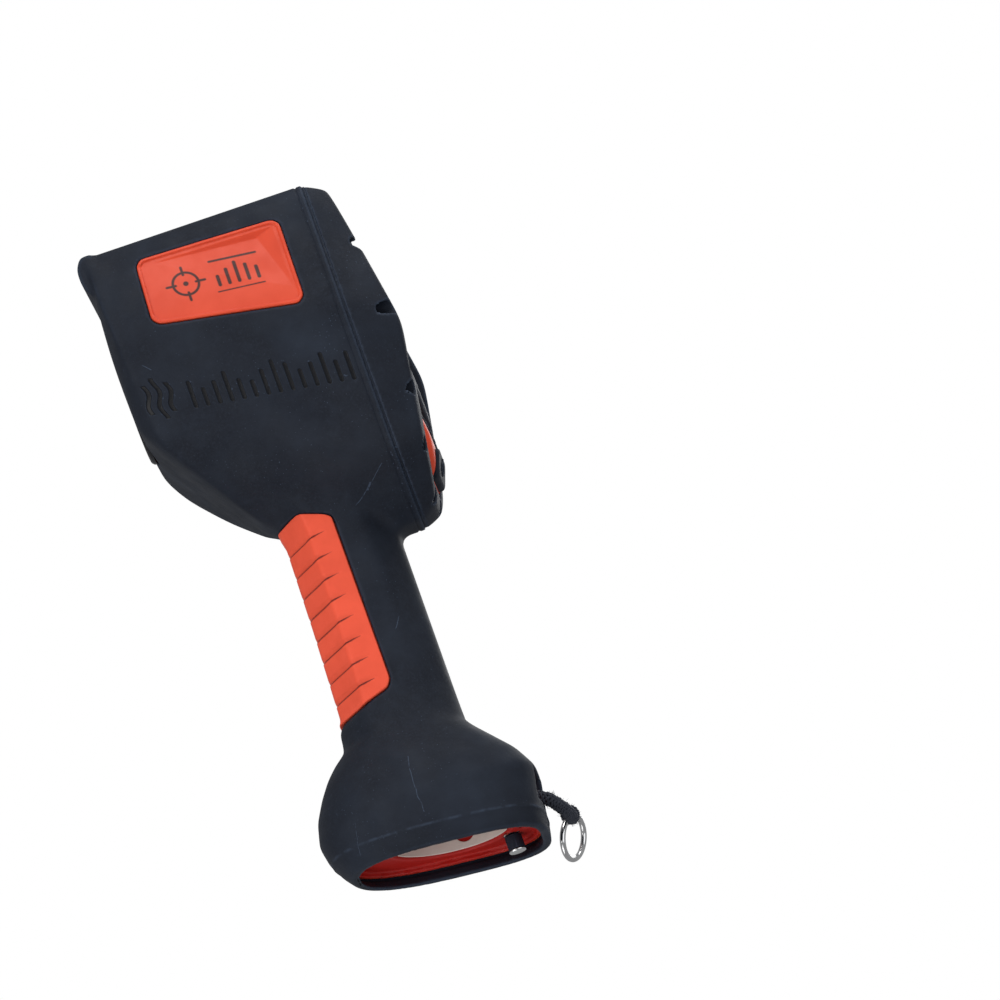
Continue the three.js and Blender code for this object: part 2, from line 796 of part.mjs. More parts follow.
// A band around the middle of the Z axis: radii, heights, middle direction and half its sweep.
function curvedLabel({ inner, outer, low, high, middle, half, curveSegments }) {
  const shape = new THREE.Shape();
  shape.absarc(0, 0, outer, middle - half, middle + half, false);
  shape.absarc(0, 0, inner, middle + half, middle - half, true);
  const options = { depth: high - low, bevelEnabled: false, curveSegments };
  const geometry = new THREE.ExtrudeGeometry(shape, options);
  geometry.translate(0, 0, low);
  return solidOf(geometry);
}

const batteryLabel = () =>
  curvedLabel({
    inner: 15.8,
    outer: 16.1,
    low: 122,
    high: 158,
    middle: -Math.PI / 2,
    half: 1.1,
    curveSegments: 8,
  });

// The label on the far wall of the battery bay, with a round hole in it.
function bayLabel() {
  const wrap = curvedLabel({
    inner: MOUTH_BORE - 0.75,
    outer: MOUTH_BORE - 0.3,
    low: 5,
    high: 21,
    middle: Math.PI / 2,
    half: 1.15,
    curveSegments: 10,
  });
  const hole = rod(4.2, at(5.6, 10, 15.5), at(5.6, 40, 15.5), 14);
  return cut(wrap, belowPlane(LEDGE + 1.2), hole);
}

// Lanyard

const ANCHOR = at(23.6, 16.5, 0);

// The post inside the foot's rear corner, grown by a clearance for the hole that holds it.
function anchorPin(grow = 0) {
  const { x, y } = ANCHOR;
  return rod(1.6 + grow, at(x, y, -1.6 - grow), at(x, y, 14 + grow), 12);
}

// Room around the post's upper washer.
function anchorPocket() {
  const { x, y } = ANCHOR;
  return rod(4, at(x, y, -1), at(x, y, 6.4), 18);
}

function anchorPost() {
  const { x, y } = ANCHOR;
  const washers = [-1.9, 5.3].map((z) => rod(3.7, at(x, y, z), at(x, y, z + 0.8), 18));
  return joined([anchorPin(), ...washers]);
}

function anchorSleeve() {
  const { x, y } = ANCHOR;
  const body = rod(3.5, at(x, y, -0.8), at(x, y, 5), 18);
  return body.subtract(rod(1.9, at(x, y, -5), at(x, y, 10), 12));
}

function pivotPin(grow = 0) {
  const { x, y } = at(30.4, 1.5, 0);
  return rod(1.3 + grow, at(x, y, 5.5 - grow), at(x, y, 21 + grow), 10);
}

// The fixed end of the cord: an eye on the pivot pin and a stub that leads to the exit.
function lanyardLoop() {
  const { x, y, z } = at(30.4, LANYARD_EXIT.y, LANYARD_EXIT.z);
  const eye = rod(2.5, at(x, y, z - 2.6), at(x, y, z + 2.6), 14);
  const stub = rod(2.5, at(x + 0.6, y, z), at(x + 4.9, y, z), 14);
  return eye.add(stub).subtract(rod(1.3 + GAP, at(x, y, 0), at(x, y, 30), 10));
}

// The ring hangs from the eye: down along HANG, in the plane square to RING_NORMAL.
const HANG = at(-0.2, 0.5, -0.84).normalize();
const RING_NORMAL = at(0.817, -0.385, -0.423).normalize();
const RING_TANGENT = new THREE.Vector3().crossVectors(RING_NORMAL, HANG).normalize();

function lanyardCord() {
  const outward = LANYARD_EYE.clone().addScaledVector(HANG, -0.6);
  const curve = new THREE.CatmullRomCurve3([
    LANYARD_EXIT,
    at(42.4, 4, 11),
    at(46.8, 13, 7.4),
    at(48.2, 25, 7.2),
    at(48.6, 37, 8.8),
    outward.clone().add(at(0.2, -3, 0.3)),
  ]);
  const circle = new THREE.Shape();
  circle.absarc(0, 0, 2.7, 0, 2 * Math.PI);
  const options = { steps: 12, curveSegments: 3, extrudePath: curve, bevelEnabled: false };
  const line = solidOf(new THREE.ExtrudeGeometry(circle, options));
  const half = RING_TANGENT.clone().multiplyScalar(3);
  const eye = rod(3.6, outward.clone().sub(half), outward.clone().add(half), 18);
  const bore = RING_TANGENT.clone().multiplyScalar(6);
  const hole = rod(RING_WIRE + 0.75, LANYARD_EYE.clone().sub(bore), LANYARD_EYE.clone().add(bore), 16);
  return line.add(eye).subtract(hole);
}

function lanyardRing() {
  const ring = new THREE.TorusGeometry(RING_RADIUS, RING_WIRE, 8, 26);
  const basis = new THREE.Matrix4().makeBasis(RING_TANGENT, HANG, RING_NORMAL.clone().negate());
  const centre = LANYARD_EYE.clone().addScaledVector(HANG, RING_RADIUS);
  if (basis.determinant() < 0) basis.makeBasis(RING_TANGENT, HANG, RING_NORMAL);
  ring.applyMatrix4(basis);
  ring.translate(centre.x, centre.y, centre.z);
  return solidOf(ring);
}

// The assembly

const camera = new THREE.Group();
camera.rotation.y = Math.atan(REST_LEAN);
camera.position.x = Math.hypot(RIM_X, RIM_X * REST_LEAN);

function add(name, solid, look, place = at(0, 0, 0), turn = null) {
  const mesh = new THREE.Mesh(geometryOf(solid), look);
  mesh.name = name;
  mesh.position.copy(place);
  if (turn) mesh.rotation.copy(turn);
  camera.add(mesh);
}

const LOOK_FORWARD = new THREE.Euler(0, -Math.PI / 2, 0); // turns +Z to -X

add("body_jacket", bodyJacket(), RUBBER);
add("inner_housing", innerHousing(), ORANGE);
add("grip_insert", gripInsert(), ORANGE_GRIP);
add("side_badge_left", sideBadge(-1), ORANGE);
add("side_badge_right", sideBadge(1), ORANGE);
add("seam_gasket", seamGasket(), RUBBER);
add("rear_bezel", rearBezel(), BLACK_PLASTIC);
SCREW_PLACES.forEach(([y, z, x], index) => {
  add(`bezel_screw_${2 * index + 1}`, bezelScrew(), BLACK_STEEL, at(x + 0.2, -y, z));
  add(`bezel_screw_${2 * index + 2}`, bezelScrew(), BLACK_STEEL, at(x + 0.2, y, z));
});
add("display_gasket", displayGasket(), RUBBER);
add("display_glass", displayGlass(), GLASS);
add("display_module", displayModule(), BLACK_PLASTIC);
add("button_panel", buttonPanel(), ORANGE);
add("power_button", button(BUTTONS.power), RUBBER);
add("left_button", button(BUTTONS.left), RUBBER);
add("right_button", button(BUTTONS.right), RUBBER);
add("button_board", buttonBoard(), BOARD);
add("lens_ring", lensRing(), BLACK_STEEL, at(-61.9, 0, LENS_Z), LOOK_FORWARD);
add("front_window", frontWindow(), GERMANIUM, at(-58.6, 0, LENS_Z), LOOK_FORWARD);
add("window_gasket", windowGasket(), RUBBER, at(-57.5, 0, LENS_Z), LOOK_FORWARD);
add("lens_barrel", lensBarrel(), BLACK_STEEL, at(-37.2, 0, LENS_Z), LOOK_FORWARD);
add("lens_element", lensElement(), GERMANIUM, at(-37.6, 0, LENS_Z), LOOK_FORWARD);
add("shutter_flag", shutterFlag(), BLACK_STEEL);
add("sensor_housing", sensorHousing(), ALUMINIUM);
add("sensor_array", sensorArray(), BOARD);
add("heat_spreader", heatSpreader(), ALUMINIUM);
add("main_board", mainBoard(), BOARD);
add("processor_shield", processorShield(), ALUMINIUM);
add("sensor_flex", sensorFlex(), BRASS);
add("display_flex", displayFlex(), BRASS);
add("contact_block", contactBlock(), BLACK_PLASTIC);
add("spring_contact_1", springContact(CONTACT_X[0]), BRASS);
add("spring_contact_2", springContact(CONTACT_X[1]), BRASS);
add("power_lead_positive", powerLead(CONTACT_X[0], -6), RED_WIRE);
add("power_lead_negative", powerLead(CONTACT_X[1], 6), BLACK_PLASTIC);
add("battery_case", batteryCase(), ORANGE);
add("battery_cap", batteryCap(), ORANGE);
add("battery_oring", batteryOring(), RUBBER);
add("cell_1", cell(), CELL, at(0, 0, 40.6));
add("cell_2", cell(), CELL, at(0, 0, 40.6 + CELL_LENGTH + 1.6));
add("battery_centre_pad", centrePad(), BRASS);
add("battery_ring_pad", ringPad(), BRASS);
add("battery_label", batteryLabel(), LABEL);
add("bay_label", bayLabel(), LABEL);
add("lanyard_anchor_post", anchorPost(), STEEL);
add("lanyard_anchor_sleeve", anchorSleeve(), BLACK_PLASTIC);
add("lanyard_pivot_pin", pivotPin(), STEEL);
add("lanyard_loop", lanyardLoop(), CORD);
add("lanyard_cord", lanyardCord(), CORD);
add("lanyard_ring", lanyardRing(), STEEL);

export default camera;
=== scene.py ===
"""The looks of a rugged pistol-grip thermal imaging camera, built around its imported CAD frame.

Most pieces are distance fields in the grip's own axes, in millimetres: x from the lens to the display,
y across and z up the grip. Surface nets turn them into meshes, which are then placed in the row frame.
"""

import json
import math

import bmesh
import bpy
import numpy as np
from mathutils import Matrix, Vector

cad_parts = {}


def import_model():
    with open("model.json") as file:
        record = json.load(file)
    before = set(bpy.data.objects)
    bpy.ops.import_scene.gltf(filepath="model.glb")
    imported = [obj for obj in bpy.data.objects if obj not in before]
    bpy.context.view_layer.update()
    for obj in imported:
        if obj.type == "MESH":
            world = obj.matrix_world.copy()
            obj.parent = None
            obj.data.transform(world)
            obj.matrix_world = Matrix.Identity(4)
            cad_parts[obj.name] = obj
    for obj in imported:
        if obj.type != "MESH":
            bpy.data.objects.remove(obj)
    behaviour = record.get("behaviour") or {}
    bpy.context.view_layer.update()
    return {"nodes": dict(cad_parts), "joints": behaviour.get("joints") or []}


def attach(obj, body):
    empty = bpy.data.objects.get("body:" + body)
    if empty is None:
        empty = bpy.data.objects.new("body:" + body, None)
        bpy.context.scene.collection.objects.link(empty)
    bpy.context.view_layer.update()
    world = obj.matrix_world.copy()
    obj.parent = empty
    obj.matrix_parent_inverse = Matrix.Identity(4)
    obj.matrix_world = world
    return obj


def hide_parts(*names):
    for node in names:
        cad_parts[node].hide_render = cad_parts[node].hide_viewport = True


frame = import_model()
JOINTS = {joint["name"]: joint for joint in frame["joints"]}

# The grip's axes in the row frame

UP = -np.array(JOINTS["battery_draw"]["axis"], float)
ACROSS = np.array((0.0, 1.0, 0.0))
BACK = np.cross(ACROSS, UP)
TURN = np.array((BACK, ACROSS, UP))
CORD_EXIT = np.array((37.5, 1.5, 13.5))
HOME = np.array(JOINTS["cord_swing"]["pos_m"], float) - CORD_EXIT @ TURN / 1000


def place(points):
    """Points in the grip's axes, in millimetres, to the row frame in metres."""
    return np.asarray(points, float) @ TURN / 1000 + HOME


# Distance fields


def smin(a, b, k):
    h = np.clip(0.5 + 0.5 * (b - a) / k, 0, 1)
    return b + (a - b) * h - k * h * (1 - h)


def smax(a, b, k):
    return -smin(-a, -b, k)


def slab(v, low, high):
    """Distance along one axis to the stretch from low to high."""
    return np.abs(v - (low + high) / 2) - (high - low) / 2


def carved(d, *cuts):
    """A shape with others cut out of it: each is (distance, rounding of the cut's edge)."""
    for cut, k in cuts:
        d = smax(d, -cut, k)
    return d


def rounded(distances, k):
    """The intersection of half-spaces, one to a column, with its edges rounded."""
    top = distances.max(1)
    return top + k * np.log(np.exp((distances - top[:, None]) / k).sum(1))


def prism(p, outline, k=0.8, axes=(0, 2)):
    """Distance to a convex outline in two of the axes, the same all along the third."""
    points = np.array(outline, float)
    following = np.roll(points, -1, 0)
    if (points[:, 0] * following[:, 1] - points[:, 1] * following[:, 0]).sum() < 0:
        points = points[::-1]
        following = np.roll(points, -1, 0)
    edge = following - points
    normal = np.stack((edge[:, 1], -edge[:, 0]), 1) / np.linalg.norm(edge, axis=1)[:, None]
    offset = (points * normal).sum(1)
    return rounded(p[:, axes] @ normal.T - offset, k)


def block(p, low, high, k=0.6):
    """A box with rounded edges; a bound of None leaves that side open."""
    sides = []
    for axis in range(3):
        if low[axis] is not None:
            sides.append(low[axis] - p[:, axis])
        if high[axis] is not None:
            sides.append(p[:, axis] - high[axis])
    return rounded(np.stack(sides, 1), k)


def tube(p, start, end, radius, k=0.4):
    """A cylinder from start to end with rounded rims."""
    start = np.array(start, float)
    axis = np.array(end, float) - start
    length = np.linalg.norm(axis)
    rel = p - start
    along = rel @ (axis / length)
    off = np.sqrt(np.maximum((rel * rel).sum(1) - along * along, 0))
    return smax(off - radius, slab(along, 0, length), k)


def hull_planes(points, merge_degrees=4.0):
    """Normals and offsets of the convex hull of points, with nearly coplanar facets merged."""
    bm = bmesh.new()
    for point in points:
        bm.verts.new(point)
    bmesh.ops.convex_hull(bm, input=bm.verts)
    bm.normal_update()
    centre = Vector(np.mean(points, axis=0))
    found = []
    for face in sorted(bm.faces, key=lambda f: -f.calc_area()):
        if face.calc_area() < 1e-4:
            continue
        normal = face.normal.copy()
        if normal.dot(face.verts[0].co - centre) < 0:
            normal.negate()
        offset = max(normal.dot(v.co) for v in face.verts)
        if all(normal.angle(n) > math.radians(merge_degrees) for n, _ in found):
            found.append((normal, offset))
    bm.free()
    return np.array([n for n, _ in found]), np.array([d for _, d in found])


def halves(points):
    return [q for x, y, z in points for q in ((x, y, z), (x, -y, z))]


# Surface nets

CORNERS = np.array([(i, j, k) for i in (0, 1) for j in (0, 1) for k in (0, 1)])
EDGES = [(a, b) for a in range(8) for b in range(a + 1, 8) if np.abs(CORNERS[a] - CORNERS[b]).sum() == 1]


def sampled(field, points, chunk=300000):
    return np.concatenate([field(points[i : i + chunk]) for i in range(0, len(points), chunk)])


def gradient(field, points, h):
    out = np.empty_like(points)
    for axis in range(3):
        step = np.zeros(3)
        step[axis] = h
        out[:, axis] = (sampled(field, points + step) - sampled(field, points - step)) / (2 * h)
    return out


def settled(field, points, step, rounds=2, limit=0.6):
    """Points moved onto the field's zero."""
    for _ in range(rounds):
        slope = gradient(field, points, step * 0.2)
        size = np.maximum((slope * slope).sum(1), 0.05)
        move = slope * (sampled(field, points) / size)[:, None]
        length = np.linalg.norm(move, axis=1)
        share = np.minimum(1, limit * step / np.maximum(length, 1e-9))
        points = points - move * share[:, None]
    return points


def surface(field, low, high, step, cells_in_block=8):
    """Points and quads of the surface where field is zero, inside the box from low to high."""
    low = np.array(low, float)
    n = cells_in_block
    blocks = np.ceil((np.array(high) - low) / (step * n)).astype(int)
    centres = [low[a] + step * n * (np.arange(blocks[a]) + 0.5) for a in range(3)]
    grid = np.stack(np.meshgrid(*centres, indexing="ij"), -1).reshape(-1, 3)
    coarse = sampled(field, grid)
    near = np.abs(coarse) < step * n * 1.3
    signs = np.where(coarse < 0, -1.0, 1.0).astype(np.float32).reshape(blocks)
    values = np.ones(blocks * n + 1, np.float32)
    values[:-1, :-1, :-1] = signs.repeat(n, 0).repeat(n, 1).repeat(n, 2)
    steps = np.arange(n + 1)
    offsets = np.stack(np.meshgrid(steps, steps, steps, indexing="ij"), -1).reshape(-1, 3)
    index = np.argwhere(near.reshape(blocks)) * n
    for i in range(0, len(index), 400):
        cells = (index[i : i + 400, None, :] + offsets).reshape(-1, 3)
        values[tuple(cells.T)] = field(low + cells * step)
    inside = values < 0
    trimmed = [tuple(slice(1, None) if far else slice(None, -1) for far in c) for c in CORNERS]
    count = sum(inside[part].astype(np.int8) for part in trimmed)
    active = np.argwhere((count > 0) & (count < 8))
    number = np.full(count.shape, -1, np.int32)
    number[tuple(active.T)] = np.arange(len(active))
    total = np.zeros((len(active), 3))
    hits = np.zeros(len(active))
    at_corner = [values[tuple((active + c).T)] for c in CORNERS]
    for a, b in EDGES:
        va, vb = at_corner[a], at_corner[b]
        cross = (va < 0) != (vb < 0)
        share = (va[cross] / (va[cross] - vb[cross]))[:, None]
        total[cross] += CORNERS[a] + share * (CORNERS[b] - CORNERS[a])
        hits[cross] += 1
    points = low + (active + total / hits[:, None]) * step
    quads = []
    for axis in range(3):
        u, v = (axis + 1) % 3, (axis + 2) % 3
        first = [slice(None)] * 3
        second = [slice(None)] * 3
        first[axis], second[axis] = slice(None, -1), slice(1, None)
        a, b = inside[tuple(first)], inside[tuple(second)]
        edge = np.argwhere(a != b)
        across = edge[:, [u, v]]
        edge = edge[((across > 0) & (across < (count.shape[u], count.shape[v]))).all(1)]
        leaving = a[tuple(edge.T)]
        du, dv = np.zeros(3, int), np.zeros(3, int)
        du[u], dv[v] = 1, 1
        ring = [number[tuple((edge - s).T)] for s in (du + dv, dv, 0 * du, du)]
        quad = np.stack(ring, 1)
        quad[~leaving] = quad[~leaving][:, ::-1]
        quads.append(quad)
    quads = np.concatenate(quads)
    quads = quads[(quads >= 0).all(1)]
    return settled(field, points, step), quads


def refined(field, points, quads, where, step, levels):
    """A bmesh whose faces inside `where` are cut in four, as many times as levels, and settled again."""
    bm = bmesh.new()
    mesh = new_mesh("refine", points, quads)
    bm.from_mesh(mesh)
    bpy.data.meshes.remove(mesh)
    for _ in range(levels):
        bm.faces.ensure_lookup_table()
        middles = np.array([f.calc_center_median() for f in bm.faces])
        chosen = np.flatnonzero(where(middles))
        edges = list({edge for i in chosen for edge in bm.faces[i].edges})
        bmesh.ops.subdivide_edges(bm, edges=edges, cuts=1, use_grid_fill=True)
        step = step / 2
        bm.verts.ensure_lookup_table()
        co = np.array([v.co for v in bm.verts])
        mask = where(co)
        co[mask] = settled(field, co[mask], step, rounds=2)
        for vertex, point in zip(bm.verts, co):
            vertex.co = point
    bmesh.ops.recalc_face_normals(bm, faces=bm.faces)
    return bm


# Meshes and objects

PAINT_EDGE = 0.3  # width over which paint fades out


def new_mesh(name, points, faces):
    """A mesh from an array of points and faces, which are an array or lists of any length."""
    mesh = bpy.data.meshes.new(name)
    if isinstance(faces, list):
        sizes = np.array([len(face) for face in faces])
        flat = np.concatenate([np.asarray(face) for face in faces])
    else:
        sizes = np.full(len(faces), faces.shape[1])
        flat = faces.ravel()
    mesh.vertices.add(len(points))
    mesh.vertices.foreach_set("co", np.asarray(points, np.float32).ravel())
    mesh.loops.add(len(flat))
    mesh.loops.foreach_set("vertex_index", flat.astype(np.int32))
    mesh.polygons.add(len(sizes))
    mesh.polygons.foreach_set("loop_start", (np.cumsum(sizes) - sizes).astype(np.int32))
    mesh.polygons.foreach_set("loop_total", sizes.astype(np.int32))
    mesh.update(calc_edges=True)
    mesh.validate()
    return mesh


def vertices_of(mesh):
    co = np.empty(len(mesh.vertices) * 3, np.float32)
    mesh.vertices.foreach_get("co", co)
    return co.reshape(-1, 3)


def in_scene(name, data):
    thing = bpy.data.objects.new(name, data)
    bpy.context.scene.collection.objects.link(thing)
    return thing


def piece(name, mesh, slot, replaced, body="camera", sharp=None, look=None):
    """A piece from a mesh in the grip's axes, riding on a body in place of the CAD node `replaced`."""
    mesh.vertices.foreach_set("co", place(vertices_of(mesh)).astype(np.float32).ravel())
    mesh.polygons.foreach_set("use_smooth", np.ones(len(mesh.polygons), bool))
    if sharp is not None:
        mesh.set_sharp_from_angle(angle=math.radians(sharp))
    mesh.update()
    mesh.materials.append(LOOKS[look or slot])
    thing = in_scene(name, mesh)
    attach(thing, body)
    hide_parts(replaced)


def solid(name, field, low, high, step, slot, replaced, print_and_shade_field=None, fine=None, levels=2, **options):
    """A piece meshed from a field, finer where `fine` says.

    It is painted where the field `print_and_shade_field` is below zero: with print on some pieces and with
    painted shade on others.
    """
    step = step * 1
    points, quads = surface(field, low, high, step)
    if fine:
        bm = refined(field, points, quads, fine, step, levels)
        mesh = bpy.data.meshes.new(name)
        bm.to_mesh(mesh)
        bm.free()
    else:
        mesh = new_mesh(name, points, quads)
    if print_and_shade_field:
        paint = np.clip(0.5 - print_and_shade_field(vertices_of(mesh).astype(float)) / PAINT_EDGE, 0, 1)
        mesh.attributes.new("print_and_shade", "FLOAT", "POINT").data.foreach_set("value", paint.astype(np.float32))
    piece(name, mesh, slot, replaced, **options)


def swept(rings, caps=True):
    """Quads through rings of points, each of which closes on itself."""
    rings = np.asarray(rings, float)
    n, m = rings.shape[:2]
    i, j = np.meshgrid(np.arange(n - 1), np.arange(m), indexing="ij")
    a, b = i * m + j, i * m + (j + 1) % m
    faces = np.stack((a, b, b + m, a + m), -1).reshape(-1, 4).tolist()
    if caps:
        faces.append(list(range(m))[::-1])
        faces.append(list(range((n - 1) * m, n * m)))
    return rings.reshape(-1, 3), faces


def swept_round(rings):
    """Quads through rings of points, with the last ring joined to the first."""
    points, faces = swept(np.concatenate((rings, rings[:1])), caps=False)
    count = len(points) - len(rings[0])
    return points[:count], [[v % count for v in face] for face in faces]


def unit(vectors):
    return vectors / np.linalg.norm(vectors, axis=-1, keepdims=True)


def full_turn(count):
    """Evenly spaced angles that go once around."""
    return np.arange(count) * 2 * math.pi / count


def around(angle, first, second):
    """The directions at each angle from the first direction towards the second."""
    angle = np.asarray(angle)[..., None]
    return np.cos(angle) * first + np.sin(angle) * second


def lathe(profile, start, axis, segments=96):
    """A solid of revolution: [radius, distance along axis] points that run around its section."""
    axis = unit(np.array(axis, float))
    side = unit(np.cross(axis, (0.3, 1.0, 0.2)))
    ring = around(full_turn(segments), side, np.cross(axis, side))
    profile = np.array(profile, float)
    on_axis = profile[:, 0] < 1e-6
    rings = np.array(start) + profile[:, None, :1] * ring + profile[:, None, 1:] * axis
    closed_by_caps = on_axis[0] and on_axis[-1]
    return new_mesh("lathe", *(swept(rings[1:-1]) if closed_by_caps else swept_round(rings)))


def corner(profile, radius=0.3, steps=3):
    """A closed profile with each corner rounded."""
    points = np.array(profile, float)
    out = []
    for i, point in enumerate(points):
        before, after = points[i - 1], points[(i + 1) % len(points)]
        if point[0] < 1e-6:
            out.append(point)
            continue
        a, b = before - point, after - point
        reach = min(radius, np.linalg.norm(a) * 0.45, np.linalg.norm(b) * 0.45)
        start, end = point + unit(a) * reach, point + unit(b) * reach
        for t in np.linspace(0, 1, steps + 1):
            out.append((1 - t) ** 2 * start + 2 * t * (1 - t) * point + t * t * end)
    return np.array(out)


# Materials


def node(tree, kind, inputs=None, **settings):
    made = tree.nodes.new(kind)
    for key, value in settings.items():
        setattr(made, key, value)
    for key, value in (inputs or {}).items():
        if isinstance(value, bpy.types.NodeSocket):
            tree.links.new(value, made.inputs[key])
        else:
            made.inputs[key].default_value = value
    return made


class Look:
    """A material built node by node; its textures are laid out in the row frame, in metres."""

    def __init__(self, name):
        self.material = bpy.data.materials.new(name)
        self.material.use_nodes = True
        self.tree = self.material.node_tree
        self.tree.nodes.clear()
        self.place = node(self.tree, "ShaderNodeTexCoord").outputs["Object"]

    def noise(self, scale, detail=4.0, roughness=0.55, stretch=(1, 1, 1), turn=(0, 0, 0)):
        laid_out = {"Vector": self.place, "Scale": stretch, "Rotation": turn}
        mapping = node(self.tree, "ShaderNodeMapping", laid_out)
        inputs = {"Vector": mapping.outputs[0], "Scale": scale, "Detail": detail, "Roughness": roughness}
        return node(self.tree, "ShaderNodeTexNoise", inputs).outputs["Fac"]

    def dots(self, scale):
        inputs = {"Vector": self.place, "Scale": scale}
        return node(self.tree, "ShaderNodeTexVoronoi", inputs).outputs["Distance"]

    def ramp(self, value, low, high, start=0.0, end=1.0):
        inputs = {"Value": value, "From Min": low, "From Max": high, "To Min": start, "To Max": end}
        return node(self.tree, "ShaderNodeMapRange", inputs, clamp=True).outputs[0]

    def math(self, operation, a, b=0.0):
        return node(self.tree, "ShaderNodeMath", {0: a, 1: b}, operation=operation).outputs[0]

    def vector(self, operation, a, b, output=0):
        return node(self.tree, "ShaderNodeVectorMath", {0: a, 1: b}, operation=operation).outputs[output]

    def mix(self, share, a, b):
        a, b = ((*c, 1) if isinstance(c, tuple) else c for c in (a, b))
        return node(self.tree, "ShaderNodeMix", {"Factor": share, 6: a, 7: b}, data_type="RGBA").outputs[2]

    def blend(self, share, a, b):
        return node(self.tree, "ShaderNodeMix", {"Factor": share, 2: a, 3: b}).outputs[0]

    def attribute(self, name):
        return node(self.tree, "ShaderNodeAttribute", attribute_name=name).outputs["Fac"]

    def pointiness(self):
        return node(self.tree, "ShaderNodeNewGeometry").outputs["Pointiness"]

    def scratches(self, turn, share, width=0.0035):
        """Thin lines: where a stretched noise crosses its middle, inside patches of a coarse one."""
        field = self.noise(60, 1.5, 0.5, (1, 1, 0.12), turn)
        line = self.ramp(self.math("ABSOLUTE", self.math("SUBTRACT", field, 0.5)), 0, width, 1, 0)
        patch = self.ramp(self.noise(38, 2, 0.5), 0.62 - 0.12 * share, 0.66)
        return self.math("MULTIPLY", line, patch)

    def strokes(self, lines):
        """Hairline scratches on the side at y < 0, each (x, z, x, z, half width), with a slight waver."""
        tree = self.tree
        apart = node(tree, "ShaderNodeSeparateXYZ", {0: self.place}).outputs
        waver = self.math("MULTIPLY", self.math("SUBTRACT", self.noise(130, 3), 0.5), 0.0022)
        flat = {"X": self.math("ADD", apart["X"], waver), "Z": apart["Z"]}
        flat = node(tree, "ShaderNodeCombineXYZ", flat).outputs[0]
        near = self.ramp(apart["Y"], -0.002, 0.0, 1, 0)
        total = None
        for x0, z0, x1, z1, half in lines:
            start, end = place([(x0, 0, z0), (x1, 0, z1)])
            along = Vector(end - start)
            rel = self.vector("SUBTRACT", flat, Vector(start))
            share = self.ramp(self.vector("DOT_PRODUCT", rel, along / along.length_squared, "Value"), 0, 1)
            foot = node(tree, "ShaderNodeVectorMath", {0: along, "Scale": share}, operation="SCALE")
            gap = self.vector("DISTANCE", rel, foot.outputs[0], "Value")
            line = self.ramp(gap, half * 0.0004, half * 0.001, 1, 0)
            total = self.math("MAXIMUM", total, line) if total else line
        broken = self.ramp(self.noise(700, 3), 0.36, 0.52)
        return self.math("MULTIPLY", self.math("MULTIPLY", total, near), broken)

    def done(self, color, roughness, metallic=0.0, bumps=(), **extra):
        """Finishes the material; bumps are (height, distance in metres)."""
        normal = None
        for height, distance in bumps:
            inputs = {"Height": height, "Distance": distance, "Strength": 1.0}
            if normal:
                inputs["Normal"] = normal
            normal = node(self.tree, "ShaderNodeBump", inputs).outputs[0]
        inputs = {"Base Color": (*color, 1) if isinstance(color, tuple) else color, "Roughness": roughness,
                  "Metallic": metallic}
        inputs.update({key.replace("_", " "): value for key, value in extra.items()})
        if normal:
            inputs["Normal"] = normal
        shader = node(self.tree, "ShaderNodeBsdfPrincipled", inputs)
        node(self.tree, "ShaderNodeOutputMaterial", {"Surface": shader.outputs[0]})
        return self.material


CREASE_HEIGHT = 0.0078  # of the worn line around the foot's lip, in metres


def rubber_look(name, base, dusty, print_and_shade=None, dust=0.5, scratches=()):
    """Rubber with smudges, dust and hairlines; `print_and_shade` is its colour where it is painted."""
    look = Look(name)
    smudge = look.ramp(look.noise(26, 5, 0.6), 0.44, 0.72, 0, dust)
    film = look.ramp(look.noise(150, 7, 0.72), 0.46, 0.74, 0, dust * 0.7)
    grain = look.ramp(look.noise(1000, 4, 0.7), 0.48, 0.72, 0, dust * 0.7)
    color = look.mix(look.math("MAXIMUM", look.math("MAXIMUM", smudge, film), grain), base, dusty)
    specks = look.ramp(look.dots(620), 0.07, 0.13, 0.6, 0)
    specks = look.math("MULTIPLY", specks, look.ramp(look.noise(70, 3), 0.46, 0.6))
    lines = look.strokes(scratches) if scratches else look.scratches((0.4, 0.5, 0.2), 0.2)
    bright = look.math("MAXIMUM", specks, look.math("MULTIPLY", lines, 0.6))
    wear = look.ramp(look.pointiness(), 0.515, 0.6, 0, 0.5)
    color = look.mix(look.math("MAXIMUM", bright, wear), color, tuple(min(1, c * 2.6) for c in dusty))
    roughness = look.ramp(look.noise(60, 5), 0.3, 0.7, 0.56, 0.74)
    if print_and_shade:
        share = look.attribute("print_and_shade")
        color = look.mix(share, color, print_and_shade)
        roughness = look.blend(share, roughness, 0.34)
        height = node(look.tree, "ShaderNodeSeparateXYZ", {0: look.place}).outputs["Z"]
        from_crease = look.math("ABSOLUTE", look.math("SUBTRACT", height, CREASE_HEIGHT))
        crease = look.ramp(from_crease, 0.0001, 0.0008, 0.34, 0)
        crease = look.math("MULTIPLY", crease, look.ramp(look.noise(240, 4), 0.4, 0.62))
        color = look.mix(crease, color, tuple(c * 2.4 for c in dusty))
    bumps = ((look.noise(420, 5, 0.6), 0.00012), (look.noise(2600, 3, 0.6), 0.00003), (lines, -0.00003))
    return look.done(color, roughness, bumps=bumps, Specular_IOR_Level=0.2)


